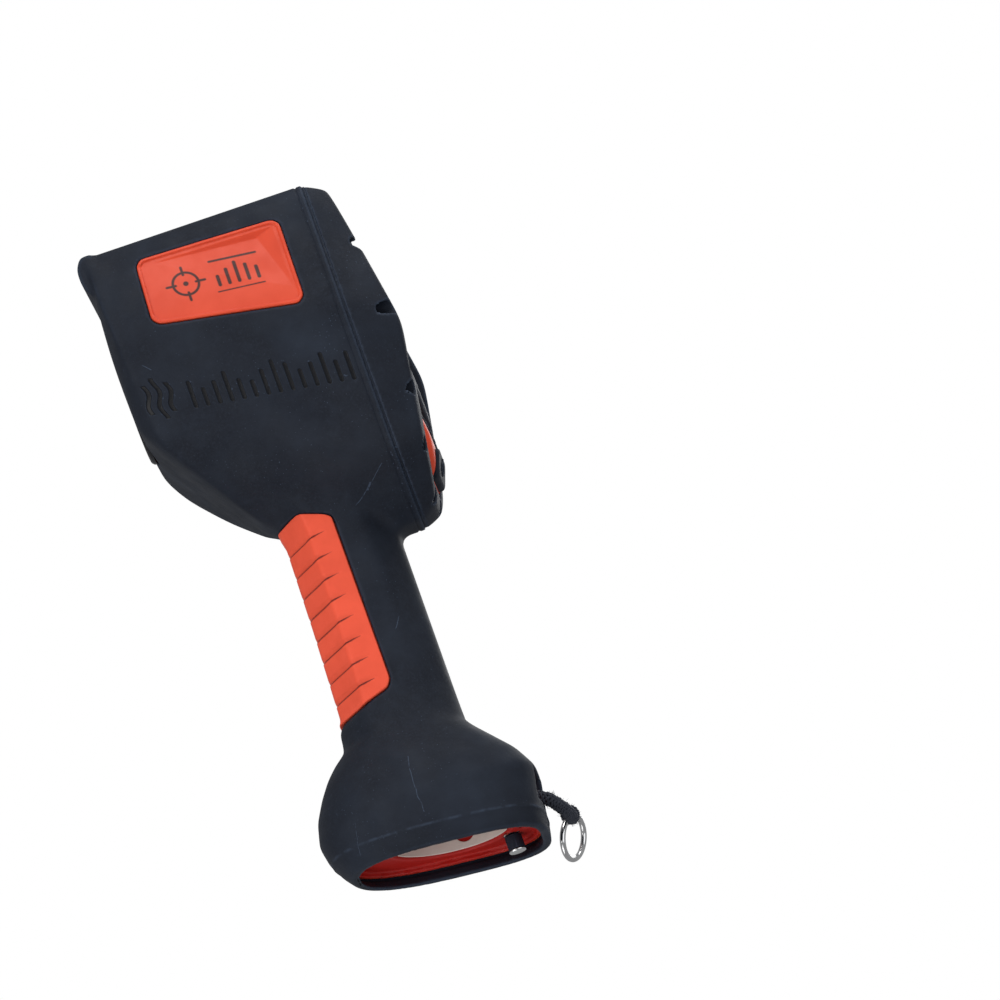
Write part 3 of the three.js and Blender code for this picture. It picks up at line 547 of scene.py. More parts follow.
def plastic_look(name, base, deep, roughness=0.42, print_and_shade=None, grain=0.00003):
    """Moulded plastic between two shades, with fine specks; `print_and_shade` is its colour where it is
    painted: print on the badges and labels, painted shade on the housing's cup and the grip's rib corners.
    """
    look = Look(name)
    color = look.mix(look.ramp(look.noise(45, 5, 0.6), 0.35, 0.7), base, deep)
    color = look.mix(look.ramp(look.dots(900), 0.04, 0.08, 0.25, 0), color, tuple(c * 0.35 for c in deep))
    rough = look.ramp(look.noise(90, 6, 0.65), 0.3, 0.7, roughness - 0.07, roughness + 0.1)
    if print_and_shade:
        # Where the mesh is painted: print on the badges and labels, painted shade in the housing's cup and
        # under the grip's ribs
        color = look.mix(look.attribute("print_and_shade"), color, print_and_shade)
    lines = look.scratches((0.8, 0.3, 0.6), 0.3)
    bumps = ((look.noise(2200, 3, 0.6), grain), (look.noise(160, 3), grain * 2), (lines, -0.00002))
    return look.done(color, rough, bumps=bumps, Specular_IOR_Level=0.28)


def metal_look(name, base, deep, roughness, brushed=(1, 1, 1), bump=0.00001):
    look = Look(name)
    grain = look.noise(900, 4, 0.6, brushed)
    color = look.mix(look.ramp(look.noise(120, 5), 0.35, 0.7), base, deep)
    rough = look.ramp(look.noise(200, 6, 0.6), 0.3, 0.7, roughness * 0.75, roughness * 1.35)
    lines = look.scratches((0.2, 1.1, 0.4), 0.9, 0.006)
    return look.done(color, rough, 1.0, bumps=((grain, bump), (lines, -0.00002)))


# Hairlines on the side at y < 0: x, z, x, z and half width, in the grip's axes
SCRATCHES = (
    (-4.4, 38, -5.6, 26, 0.22),
    (-5.6, 26, -5.2, 13.5, 0.26),
    (9.5, 146.6, 25.2, 155.4, 0.16),
    (16.4, 150.2, 18.0, 151.6, 0.5),
    (-33, 20, -35, 8, 0.12),
    (8, 92, 11, 97, 0.2),
    (-52, 224, -49, 221, 0.2),
)
ORANGE, DEEP_ORANGE = (0.72, 0.070, 0.026), (0.64, 0.058, 0.021)
# Two shades each, then the roughness, and for some the colour of the print, the grain's stretch and its depth
PLASTICS = {
    "circuit_board": ((0.018, 0.12, 0.045), (0.012, 0.07, 0.03), 0.35),
    "flex_circuit": ((0.55, 0.24, 0.05), (0.4, 0.16, 0.03), 0.35),
    "red_wire": ((0.42, 0.02, 0.02), (0.3, 0.01, 0.01), 0.4),
    "black_wire": ((0.012, 0.012, 0.013), (0.02, 0.02, 0.022), 0.4),
    "cell_wrap": ((0.03, 0.16, 0.3), (0.02, 0.11, 0.22), 0.3),
    "white_label": ((0.76, 0.72, 0.66), (0.62, 0.58, 0.52), 0.5, (0.07, 0.07, 0.07)),
}
METALS = {
    "black_steel": ((0.055, 0.055, 0.06), (0.035, 0.035, 0.038), 0.36),
    "germanium": ((0.24, 0.235, 0.23), (0.19, 0.185, 0.18), 0.1, (1, 1, 1), 0.000002),
    "black_aluminium": ((0.04, 0.04, 0.043), (0.025, 0.025, 0.028), 0.42),
    "bare_aluminium": ((0.55, 0.56, 0.57), (0.42, 0.43, 0.44), 0.35, (1, 1, 12)),
    "brass_contact": ((0.72, 0.52, 0.2), (0.6, 0.4, 0.14), 0.25),
    "bright_steel": ((0.72, 0.72, 0.72), (0.6, 0.6, 0.6), 0.1),
}


def glass_look():
    look = Look("display_glass")
    color = look.mix(look.ramp(look.noise(20, 3), 0.3, 0.7), (0.004, 0.005, 0.008), (0.007, 0.008, 0.012))
    rough = look.ramp(look.noise(70, 7, 0.7), 0.45, 0.8, 0.035, 0.16)
    lines = look.scratches((0.3, 1.2, 0.1), 0.4, 0.002)
    return look.done(color, rough, bumps=((lines, -0.00001),), Coat_Weight=0.6)


LOOKS = {
    "black_rubber": rubber_look("jacket_rubber", (0.0074, 0.0102, 0.0178), (0.024, 0.034, 0.054),
                                print_and_shade=(0.005, 0.0057, 0.008), scratches=SCRATCHES),
    "black_plastic": rubber_look("black_plastic", (0.014, 0.0155, 0.0195), (0.03, 0.033, 0.04), dust=0.35),
    "black_cord": rubber_look("cord_fibre", (0.006, 0.007, 0.011), (0.022, 0.025, 0.034), dust=0.8),
    "orange_plastic": plastic_look("orange_plastic", ORANGE, DEEP_ORANGE, print_and_shade=(0.05, 0.012, 0.01)),
    # painted shade: the housing's painted colour is a darker red on the foot cup's deep walls, where little
    # light reaches
    "housing_orange": plastic_look("housing_orange", ORANGE, DEEP_ORANGE, print_and_shade=(0.42, 0.013, 0.009)),
    # painted shade: the grip's painted colour is a dark line in the shaded corner under each rib's edge
    "orange_grip_rubber": plastic_look("orange_grip_rubber", (0.88, 0.100, 0.046), (0.77, 0.084, 0.038), 0.55,
                                       grain=0.00005, print_and_shade=(0.10, 0.008, 0.006)),
    "display_glass": glass_look(),
    **{name: plastic_look(name, *finish) for name, finish in PLASTICS.items()},
    **{name: metal_look(name, *finish) for name, finish in METALS.items()},
}

# Body shapes

JACKET = 2.7  # thickness of the rubber
SEAM = 32.5  # x of the jacket's rear edge
BEZEL_FRONT = 33.4
REST_LEAN = -0.11  # rise of the resting plane over x
LENS_Z = 221
LENS_FLOOR = -40  # x of the lens bay's floor
JACKET_MOUTH, HOUSING_MOUTH = 21, 19  # radii around the lens
LEDGE = 8  # height of the cup's ledge over the resting plane
ANCHOR = (23.6, 16.5)  # x and y of the lanyard's post
PIVOT = (30.4, 1.5)  # x and y of the pin that the cord turns on
HEAD = [
    (-60.8, 42.5, 278.4),
    (-60.8, 46.8, 273.5),
    (SEAM, 43, 275.9),
    (SEAM, 47.4, 271),
    (-63.8, 41, 237),
    (-62.8, 37, 203),
    (-59, 54, 241),
    (SEAM, 54, 218.8),
    (-57.6, 37, 192.8),
    (-55.4, 42.5, 192.8),
    (-42.4, 31.5, 173.6),
    (-26, 13, 155.4),
    (SEAM, 48, 188),
    (SEAM, 41, 157.5),
    (SEAM, 19, 141),
    (SEAM, 8, 136.2),
    (22, 10, 136.2),
]
HEAD_TAIL = [(SEAM + 14, y, z) for x, y, z in HEAD if x == SEAM]
HEAD_NORMALS, HEAD_OFFSETS = hull_planes(halves(HEAD + HEAD_TAIL))
BROW_HALF = 46.4
BROW = ((-57, 261), (-62.2, 261), (-65, 266), (-65, 274), (-62.2, 278.4), (-57, 278.4))

# Height, lean, reach to the front, to the rear and to each side, and share of oval, going up the stem
STATIONS = np.array([
    (-12, -0.11, 33.2, 35.4, 27.9, 1),
    (0, -0.11, 42.5, 38, 33.2, 1),
    (4.5, -0.1, 46, 39, 35.2, 1),
    (12, -0.07, 49.2, 40, 36.4, 1),
    (22, 0, 50.5, 42.4, 36.4, 1),
    (31, 0, 48.3, 37.6, 34.8, 1),
    (39, 0, 43.9, 30.6, 32.2, 1),
    (45.5, 0, 39.4, 25, 28.8, 1),
    (50.5, 0, 35.4, 21.8, 25.6, 0.8),
    (55.5, 0, 29.4, 21.7, 23.4, 0.5),
    (60, 0, 28.8, 21.6, 22.6, 0.3),
    (64.5, 0, 28.6, 21.6, 22.3, 0.1),
    (68, 0, 25, 21.6, 22.1, 0),
    (108, 0, 23.4, 21.7, 22, 0),
    (145, 0, 22.6, 21.8, 22, 0),
    (153, 0, 24.4, 22.6, 23.2, 0),
    (161, 0, 27.5, 24.5, 27, 0),
    (172, 0, 33, 28, 34, 0),
    (190, 0, 33, 28, 34, 0),
])
CHAMFERS = ((2.53, 0.0), (0.72, 0.6))  # direction, and how far it stands out past the mean of its walls
FRONT_SHARPNESS, REAR_SHARPNESS = 2.5, 3.3  # of the foot's oval: 2 is an ellipse, and more is squarer
STEM_TOP = 173
NUDGE = 1e-9  # keeps a point on the stem's axis from having no direction


def smooth_stations(spread=1.3):
    """The stations resampled every half millimetre and blurred, so that the stem has no kinks."""
    heights = np.arange(-12, 190, 0.5)
    kernel = np.exp(-0.5 * (np.arange(-16, 17) * 0.5 / spread) ** 2)
    kernel /= kernel.sum()
    columns = []
    for column in STATIONS.T[1:]:
        values = np.interp(heights, STATIONS[:, 0], column)
        columns.append(np.convolve(np.pad(values, 16, mode="reflect", reflect_type="odd"), kernel, "valid"))
    return heights, np.array(columns)


HEIGHTS, COLUMNS = smooth_stations()


def head(p, k=0.75):
    return rounded(p @ HEAD_NORMALS.T - HEAD_OFFSETS, k) - 0.45


def power16(v):
    v = v * v
    v = v * v
    v = v * v
    return v * v


def stem(p, crisp=1):
    """Distance-like field of the grip and foot; a higher crisp gives the grip's corners less rounding."""
    x, y, z = p.T
    height = z
    for _ in range(3):
        height = z - np.interp(height, HEIGHTS, COLUMNS[0]) * x
    front, rear, side, oval = (np.interp(height, HEIGHTS, column) for column in COLUMNS[1:])
    r = np.hypot(x, y) + NUDGE
    c = (x + NUDGE) / r
    s = np.abs(y) / r
    to_wall = (np.maximum(c, 0) / rear, np.maximum(-c, 0) / front, s / side)
    sharpness = np.where(x > 0, REAR_SHARPNESS, FRONT_SHARPNESS)
    soft = sum(v**sharpness for v in to_wall) ** (-1 / sharpness)
    sharp = sum(power16(v) ** crisp for v in to_wall)
    for end, (direction, extra) in zip((front, rear), CHAMFERS):
        distance = (end + side) / 2 + extra
        for sign in (-1, 1):
            towards = c * math.cos(direction) + sign * s * math.sin(direction)
            sharp = sharp + power16(np.maximum(towards, 0) / distance) ** crisp
    reach = oval * soft + (1 - oval) * sharp ** (-1 / (16 * crisp))
    return smax(r - reach, z - STEM_TOP, 2)


def rim_plane(p, height=0.0):
    """Below zero above the plane that lies `height` over the resting plane."""
    return (REST_LEAN * p[:, 0] + height - p[:, 2]) / math.hypot(1, REST_LEAN)


def capsules(u, v, strokes):
    """Distance to a set of strokes: (u0, v0, u1, v1, radius)."""
    best = np.full(len(u), 1e3)
    for u0, v0, u1, v1, radius in strokes:
        du, dv = u1 - u0, v1 - v0
        t = np.clip(((u - u0) * du + (v - v0) * dv) / max(du * du + dv * dv, 1e-9), 0, 1)
        best = np.minimum(best, np.hypot(u - u0 - t * du, v - v0 - t * dv) - radius)
    return best


# A generic mark pressed into the lower side facets: three rising heat waves and a scale of bars
BAR_HEIGHTS = (9.5, 6, 8, 11, 7, 5.5, 9, 12, 10, 6.5, 8.5, 11.5, 7.5, 10.5)


def pressed_mark(p):
    u = p[:, 0]
    v = p[:, 2] + 0.19 * (u + 40) - 208
    waves = np.full(len(u), 1e3)
    for middle, half in ((-54.5, 6), (-50, 8.5), (-45.5, 6)):
        line = np.abs(u - middle - 0.9 * np.sin((v + 1) * 0.55)) - 0.95
        waves = np.minimum(waves, smax(line, np.abs(v + 0.5) - half, 0.5))
    strokes = [(-37 + 4.9 * i, -6, -37 + 4.9 * i, -6 + tall, 0.85) for i, tall in enumerate(BAR_HEIGHTS)]
    bars = capsules(u, v, strokes)
    return np.maximum(np.minimum(waves, bars), 30 - np.abs(p[:, 1]))


def window(p, k=0.4):
    """The jacket's opening for the grip."""
    outline = ((-45, 150.2), (-15, 152.2), (-3, 147.8), (-0.8, 145.8),
               (-0.5, 73.4), (-2.6, 70.2), (-16, 66.2), (-45, 66.5))
    return prism(p, outline, k)


BADGE = ((-41.6, 265.4), (-39, 268), (16.6, 264.8), (19.4, 262),
         (19, 227.6), (16, 225), (-40, 236.8), (-42.6, 239.8))
BADGE_DEPTH = 38  # half width that the badges' openings reach in to


def badge_opening(p):
    return smax(prism(p, BADGE, 0.45), BADGE_DEPTH - np.abs(p[:, 1]), 0.2)


def jacket(p):
    x, y, z = p.T
    h, s = head(p), stem(p)
    brow = smax(prism(p, BROW, 0.7), np.abs(y) - BROW_HALF, 1.5)
    outside = smin(smin(smax(h, x - SEAM, 0.6), s, 6), brow, 2.2)
    seam_groove = np.exp(-(((x - SEAM + JACKET) / 0.45) ** 2)) * (z > 120)
    outside = outside + 0.4 * seam_groove + 0.55 * np.clip(0.5 - pressed_mark(p) / 0.35, 0, 1)
    lip = z - REST_LEAN * x
    outside = outside - 0.35 * np.exp(-(((lip - 7.6) / 0.9) ** 2))
    inside = smin(h, s, 6) + JACKET + 0.9 * np.clip((4.6 - lip) / 1.2, 0, 1)
    d = smax(smax(outside, -inside, 0.6), rim_plane(p), 1.0)
    mouth = smax(np.hypot(y, z - LENS_Z) - JACKET_MOUTH, x - LENS_FLOOR, 0.3)
    cord_exit = block(p, (33, -16, 8), (None, 9, 21.5), 1.0)
    return carved(d, (window(p), 0.7), (badge_opening(p), 0.6), (mouth, 0.8), (cord_exit, 0.8))


# Radius, top and edge of each bore up the grip: the cup, the battery's cap and its case
BORES = ((25, 22, 0.6), (23.3, 39.5, 0.5), (17.3, 200, 0.5))


def housing(p):
    x, y, z = p.T
    h, s = head(p), stem(p)
    r = np.hypot(x, y)
    skin = smin(smax(h, x - SEAM + 0.3, 0.3), s, 6) + 3.0
    d = carved(skin, (h + 5.6, 0.5), (smax(s + 5.6, -rim_plane(p, LEDGE), 0.8), 0.7))
    d = carved(d, *((smax(r - radius, z - top, 0.3), k) for radius, top, k in BORES))
    cord_slot = block(p, (27.6, -6, -10), (33.4, 10, 17), 0.5)
    cord_exit = block(p, (33, -4, 9.5), (50, 6, 18), 0.6)
    d = carved(d, (cord_slot, 0.5), (cord_exit, 0.5))
    d = smax(d, rim_plane(p, 5.4), 0.5)
    mouth = smax(np.hypot(y, z - LENS_Z) - HOUSING_MOUTH, x - LENS_FLOOR, 0.3)
    anchor_hole = tube(p, (*ANCHOR, -6), (*ANCHOR, 6.4), 4.0, 0.3)
    pin_hole = tube(p, (*PIVOT, 5.2), (*PIVOT, 21.3), 1.6, 0.2)
    return carved(d, (mouth, 0.5), (anchor_hole, 0.3), (pin_hole, 0.2))


def cup_painted_shade(p):
    """Below zero in the foot's cup, whose deep walls get painted shade: a darker red for the little light
    that reaches in.
    """
    return smax(stem(p) + 4.2, p[:, 2] - 60, 0.5)


# The grip's ribs: each rises gently and drops back sharply at its top edge
PITCH = 9.3
RIBS = 8


def rib_level(x, z):
    """Height above the lowest rib's edge; the edges climb behind the front chamfer."""
    return z - np.tan(math.radians(7)) * np.maximum(x + 15, 0) - 74.5


def grip(p):
    x, _, z = p.T
    level = rib_level(x, z)
    step = level - PITCH * np.floor(level / PITCH)
    width = np.interp(x, (-16, -6), (2.6, 1.5))
    fade = np.clip((-4.8 - x) / 7, 0, 1)
    notch = np.clip(1 - step / width, 0, 1) * np.clip(step / 0.2, 0, 1)
    depth = notch * fade * (level > 0) * (level < RIBS * PITCH)
    s = stem(p, 3)
    d = smax(s - 0.9 + depth, -(s + JACKET), 0.5)
    return smax(d, window(p, 0.3) + 0.45, 0.6)


def grip_painted_shade(p):
    """Below zero in the corner under each rib's sharp edge, which gets painted shade: a dark line where the
    groove lies in shadow.
    """
    x, _, z = p.T
    level = rib_level(x, z)
    step = (level + 2) % PITCH - 2
    near = np.abs(step - 0.15) - 0.45 * np.clip((-5.5 - x) / 5, 0, 1) + 0.05
    return np.where((level > -1) & (level < RIBS * PITCH - 1) & (x < -6), near, 1.0)


def slope_through(a, b, c):
    """The linear depth over x and z that takes these values: each is (x, z, depth)."""
    rows = np.array([(x, z, 1.0) for x, z, _ in (a, b, c)])
    return np.linalg.solve(rows, [depth for _, _, depth in (a, b, c)])


# The badge's floor as (x, z, depth): it is deepest near its upper rear corner
UPPER_FRONT, UPPER_REAR, LOWER_REAR = (-39.6, 264.6, 0.15), (16.8, 261.8, 0.15), (17.2, 230, 0.15)
DEEPEST = (8.3, 259.8, 2.3)
FACETS = [slope_through(a, b, DEEPEST)
          for a, b in ((UPPER_FRONT, LOWER_REAR), (UPPER_REAR, LOWER_REAR), (UPPER_FRONT, UPPER_REAR))]
PRINT_BARS = (4, 6.5, 9, 7, 5)


def badge_mark(p):
    """A generic print on the badges: a spot target beside a small bar scale under a line."""
    u = p[:, 0]
    v = p[:, 2] + 0.13 * (u + 12) - 248.5
    d = np.hypot(u + 24.5, v)
    target = np.minimum(np.abs(d - 5.2) - 0.55, d - 1.1)
    around = ((1, 0), (-1, 0), (0, 1), (0, -1))
    ticks = [(-24.5 + 4.2 * a, 4.2 * b, -24.5 + 7.8 * a, 7.8 * b, 0.55) for a, b in around]
    bars = [(-11.5 + 4 * i, -4, -11.5 + 4 * i, -4 + tall, 0.75) for i, tall in enumerate(PRINT_BARS)]
    lines = [(-13, 7.6, 6, 7.6, 0.5), (-13, -7, 6, -7, 0.3)]
    return np.minimum(target, capsules(u, v, ticks + bars + lines))


def badge(side):
    def field(p):
        x, y, z = p.T
        s = -head(p, 0.6)
        outline = prism(p, BADGE, 0.45)
        plate = smax(smax(-s - 0.4, s - JACKET, 0.4), outline + 0.3, 0.7)
        lip = smax(s - 0.35, outline + 1.7, 0.25)
        cuts = [(s - (a * x + b * z + c)) / math.sqrt(1 + a * a + b * b) for a, b, c in FACETS]
        wedge = rounded(np.stack(cuts, 1), 0.05)
        return smax(smax(plate, -np.minimum(lip, wedge), 0.25), BADGE_DEPTH - side * y, 0.2)

    return field


def gasket(p):
    h = head(p)
    ring = smax(h + 0.7, -(h + 3.8), 0.3)
    return smax(ring, np.abs(p[:, 0] - (SEAM + BEZEL_FRONT) / 2) - 0.52, 0.15)


# The rear bezel

# The bezel's front edge as (y, z) and its rear edge as (x, y, z), for one half
SEAM_LINE = ((0, 275.9), (43, 275.9), (47.4, 271), (50.6, 245), (54, 218.8), (48, 188),
             (44.6, 172.6), (41, 157.5), (30, 149.2), (19, 141), (8, 136.2), (0, 136.2))
RIM_LINE = ((41.6, 0, 272.6), (41.6, 38.5, 272.6), (43.2, 42.2, 265.8), (46.6, 44.4, 243.2), (51.2, 47, 213),
            (49.1, 43.4, 188.2), (47, 40.6, 175), (45, 36.2, 161), (43.6, 28.6, 152), (41.6, 20.4, 145),
            (40.2, 10.5, 140.4), (39.8, 0, 140.2))
BEZEL_NORMALS, BEZEL_OFFSETS = hull_planes(
    halves([(x, y, z) for y, z in SEAM_LINE for x in (BEZEL_FRONT - 10, BEZEL_FRONT)] + list(RIM_LINE)))
ROOM = ((-42, 262), (42, 262), (46, 219), (39, 190), (28, 162), (10, 150), (-10, 150), (-28, 162), (-39, 190),
        (-46, 219))
PANEL = ((-28, 184), (28, 184), (24.4, 158), (14, 147.6), (-14, 147.6), (-24.4, 158))
BUTTON_ROOM = ((-18.4, 180), (18.4, 180), (17.6, 164), (14.1, 149.2), (-14.1, 149.2), (-17.6, 164))
# Half width, height and x of the counterbore's floor, one pair of screws each
SCREWS = ((42.6, 244.5, 39), (46.2, 213, 41), (39, 180, 39.5), (30.4, 158.8, 38.5), (9.5, 143.3, 36.5))
YZ = (1, 2)


def bezel(p):
    x, y, z = p.T
    d = rounded(p @ BEZEL_NORMALS.T - BEZEL_OFFSETS, 0.75) - 0.45
    d = smax(d, BEZEL_FRONT - x, 0.4)
    from_screw = [np.hypot(np.abs(y) - sy, z - sz) for sy, sz, _ in SCREWS]
    room = smax(prism(p, ROOM, 0.8, YZ), x - 38.2, 0.4)
    room = carved(room, *((r - 4.3, 0.5) for r in from_screw))
    glass_seat = block(p, (40.2, -40, 187.5), (None, 40, 262), 0.7)
    opening = block(p, (None, -37, 194), (None, 37, 256), 0.5)
    panel_seat = smax(prism(p, PANEL, 0.6, YZ), 40.2 - x, 0.3)
    buttons = prism(p, BUTTON_ROOM, 0.5, YZ)
    d = carved(d, (room, 0.4), (glass_seat, 0.8), (opening, 0.3), (panel_seat, 0.8), (buttons, 0.3))
    for r, (_, _, counterbore) in zip(from_screw, SCREWS):
        d = carved(d, (smax(r - 3.15, counterbore - x, 0.3), 0.5), (r - 1.65, 0.2))
    return d


CREST = ((45.8, 21.5, 180), (48, 20, 164), (46.6, 17.5, 156), (43.6, 12, 149))
PANEL_NORMALS, PANEL_OFFSETS = hull_planes(
    [(40.4, y - 0.3 * np.sign(y), z + 0.3 * np.sign(165 - z)) for y, z in PANEL] + halves(CREST))
# Half width, middle y, lowest z, highest z, reach to the rear, and slope of the crown
BUTTONS = {
    "power_button": (12.5, 0, 149.6, 161.5, 47.7, 0.34),
    "left_button": (7, -9.2, 166.5, 178.5, 47.9, -0.18),
    "right_button": (7, 9.2, 166.5, 178.5, 47.9, -0.18),
}


def key(p, half, y, low, high, grow=0.0):
    return block(p, (None, y - half - grow, low - grow), (None, y + half + grow, high + grow), 1.1)


def panel(p):
    d = rounded(p @ PANEL_NORMALS.T - PANEL_OFFSETS, 0.7)
    d = smax(d, 40.4 - p[:, 0], 0.3)
    d = smax(d, -smax(prism(p, BUTTON_ROOM, 0.6, YZ), p[:, 0] - 42.4, 0.3), 0.3)
    for half, y, low, high, _, _ in BUTTONS.values():
        d = smax(d, -key(p, half, y, low, high, 0.3), 0.5)
    return d


def button_mark(name, p):
    _, y, low, high, _, _ = BUTTONS[name]
    u, v = p[:, 1] - y, p[:, 2] - (low + high) / 2
    if name == "power_button":
        ring = smax(np.abs(np.hypot(u, v) - 2.6) - 0.35, 1.0 - np.hypot(u, v - 2.6), 0.1)
        return np.minimum(ring, capsules(u, v, [(0, 1.2, 0, 3.6, 0.35)]))
    if name == "left_button":
        return capsules(u, v, [(-1.6, 0, 1.2, 2.4, 0.4), (-1.6, 0, 1.2, -2.4, 0.4)])
    return capsules(u, v, [(-2.2, 1.6, 2.2, 1.6, 0.4), (-2.2, 0, 2.2, 0, 0.4), (-2.2, -1.6, 2.2, -1.6, 0.4)])


def button(name):
    """A key with a sloping, slightly dished crown, a raised mark, and a flange behind the panel."""
    half, y, low, high, reach, slope = BUTTONS[name]
    middle = (low + high) / 2

    def field(p):
        crown = (p[:, 0] - reach - slope * (p[:, 2] - middle)) / math.hypot(1, slope)
        d = smax(key(p, half, y, low, high, -0.05), crown + 0.35, 1.6)
        dish = np.hypot((p[:, 1] - y) / half, (p[:, 2] - middle) / (high - middle))
        d = d + 0.3 * np.clip(1 - dish, 0, 1) * (crown > -3)
        raised = smax(button_mark(name, p), np.abs(crown + 0.6) - 0.75, 0.15)
        flange = smax(key(p, half + 0.8, y, low + 0.6, high - 0.6), slab(p[:, 0], 39.4, 41.2), 0.2)
        return smin(smin(smax(d, 39.4 - p[:, 0], 0.2), flange, 0.2), raised, 0.15)

    return field


def glass(p):
    return block(p, (41.0, -39.6, 187.9), (42.7, 39.6, 261.6), 0.35)


# Battery


def drum(p, low, high, radius, k=0.5):
    """A cylinder about the grip's axis, with rounded rims."""
    return smax(np.hypot(p[:, 0], p[:, 1]) - radius, slab(p[:, 2], low, high), k)


def battery_case(p):
    """A tube with eight ribs, two bands, windows on the cells and contacts at its upper end."""
    x, y, z = p.T
    r = np.hypot(x, y)
    spoke = r * np.sin(np.abs(np.arctan2(y, x) % (math.pi / 4) - math.pi / 8))
    ribs = smax(smax(spoke - 0.9, r - 16.4, 0.4), slab(z, 62, 118), 0.6)
    bands = smax(r - 16.4, np.minimum(slab(z, 162, 166), slab(z, 57.8, 60.2)), 0.4)
    d = smin(smin(drum(p, 37.6, 179, 15.6, 0.9), ribs, 0.4), bands, 0.4)
    windows = smax(smax(np.abs(x - y) * 0.7071 - 3.2, slab(z, 66, 114), 0.8), 15.0 - r, 0.2)
    cells_room = smax(r - 13.5, z - 176, 0.3)
    ring_contact = smax(slab(r, 6.2, 9.8), 178.2 - z, 0.2)
    centre_contact = smax(r - 3, 170 - z, 0.2)
    return carved(d, (windows, 0.3), (cells_room, 0.3), (ring_contact, 0.2), (centre_contact, 0.2))


FINS = ((7.6, 13.6, 20), (14.6, 15.6, 15.4))  # distance from the middle, lowest z and half length


def battery_cap(p):
    """Three stacked discs, four fins that a thumb can push against, and a pull tab."""
    x, y, z = p.T
    d = smin(drum(p, 26.8, 31.2, 22.8, 0.8), drum(p, 28, 36.8, 19.8, 0.5), 0.4)
    d = smin(d, drum(p, 30, 40, 13.2, 0.5), 0.4)
    for away, low, half in FINS:
        u = np.abs(x)
        slope = low + (21 - low) * np.clip((half - 3 - u) / 3.5, 0, 1)
        fin = smax(np.maximum(u - half, slope - z) * 0.75, np.abs(np.abs(y) - away) - 1.2, 0.7)
        fin = smax(fin, z - 28, 0.2)
        d = smin(d, fin, 0.8)
    tab = block(p, (-9, -5.2, 11.5), (9, 5.2, 28), 0.6)
    tab = smax(tab, -block(p, (-7, -3.4, 13.8), (7, None, 25), 0.5), 0.5)
    return smin(d, tab, 0.8)


def wrap(inner, outer, low, high, middle, half):
    """A band around the grip's axis, `half` radians to each side of the angle `middle`."""

    def field(p):
        r = np.hypot(p[:, 0], p[:, 1])
        turn = np.abs((np.arctan2(p[:, 1], p[:, 0]) - middle + math.pi) % (2 * math.pi) - math.pi) - half
        return smax(smax(slab(r, inner, outer), turn * r, 0.1), slab(p[:, 2], low, high), 0.1)

    return field


def bay_label(p):
    d = wrap(24.25, 24.7, 5, 21, math.pi / 2, 1.15)(p)
    d = smax(d, rim_plane(p, LEDGE + 1.2), 0.1)
    return smax(d, 4.2 - np.hypot(p[:, 0] - 5.6, p[:, 2] - 15.5), 0.1)


def label_mark(p):
    """Generic rules and a bar scale printed on the battery's label."""
    u = 16 * np.arctan2(-p[:, 0], -p[:, 1])
    ends = [-13 + 17 * (0.6 + 0.4 * math.sin(2.3 * i)) for i in range(11)]
    rows = [(-13, 153 - 2.6 * i, end, 153 - 2.6 * i, 0.32) for i, end in enumerate(ends)]
    bars = [(7 + 1.3 * i, 126, 7 + 1.3 * i, 136, 0.2 + 0.14 * (i % 3)) for i in range(6)]
    return np.maximum(capsules(u, p[:, 2], rows + bars), p[:, 1])


# Screws


def screw_field(p):
    """A socket cap screw along x, with its head's seat at x = 0 and a thread a millimetre apart."""
    r = np.hypot(p[:, 1], p[:, 2])
    hexagon = around(full_turn(6), p[:, 1, None, None], p[:, 2, None, None]).max((1, 2))
    socket = smax(hexagon - 1.3, 1.2 - p[:, 0], 0.1)
    cap = carved(smax(r - 2.9, slab(p[:, 0], 0, 2.6), 0.5), (socket, 0.15))
    thread = r - 1.45 + 0.16 * np.sin(p[:, 0] * 2 * math.pi + np.arctan2(p[:, 2], p[:, 1]))
    return smin(cap, smax(thread, slab(p[:, 0], -13.8, 0.2), 0.3), 0.2)


# Lanyard

CORD_EYE = np.array((48, 48, 12.3))
EYE_RADIUS = 2.75
RING_RADIUS = 9
RING_WIRE = 1.22


# The ring hangs from the cord's eye along HANG, in the plane square to its normal
HANG = unit((-0.2, 0.5, -0.84))
RING_NORMAL = unit((0.817, -0.385, -0.423))
RING_ALONG = unit(np.cross(RING_NORMAL, HANG))


def curve_through(points, count):
    """A Catmull-Rom curve, sampled evenly along its length."""
    points = np.array(points, float)
    padded = np.concatenate((2 * points[:1] - points[1:2], points, 2 * points[-1:] - points[-2:-1]))
    out = []
    for i in range(1, len(padded) - 2):
        a, b, c, d = padded[i - 1 : i + 3]
        t = np.linspace(0, 1, 40, endpoint=False)[:, None]
        bend, twist = 2 * a - 5 * b + 4 * c - d, 3 * b - a - 3 * c + d
        out.append(0.5 * (2 * b + (c - a) * t + bend * t**2 + twist * t**3))
    out = np.concatenate(out + [padded[-2:-1]])
    along = np.concatenate(([0], np.cumsum(np.linalg.norm(np.diff(out, axis=0), axis=1))))
    where = np.linspace(0, along[-1], count)
    return np.stack([np.interp(where, along, out[:, k]) for k in range(3)], 1), where


def frames(path, closed=False):
    """The direction of the path at each of its points, and two directions square to it."""
    tangent = unit(np.roll(path, -1, 0) - np.roll(path, 1, 0) if closed else np.gradient(path, axis=0))
    side = unit(np.cross(tangent, (0.13, 0.21, 1.0)))
    return tangent, side, np.cross(tangent, side)


def pipe(path, radius, segments=8, closed=False):
    """Rings around a path; radius is a number or one for each point."""
    _, side, other = frames(path, closed)
    radius = np.broadcast_to(radius, len(path))[:, None, None]
    rings = path[:, None] + radius * around(full_turn(segments), side[:, None], other[:, None])
    return swept_round(rings) if closed else swept(rings)


def gathered(parts):
    points, faces, start = [], [], 0
    for part_points, part_faces in parts:
        points.append(part_points)
        faces.extend([[v + start for v in face] for face in part_faces])
        start += len(part_points)
    return np.concatenate(points), faces


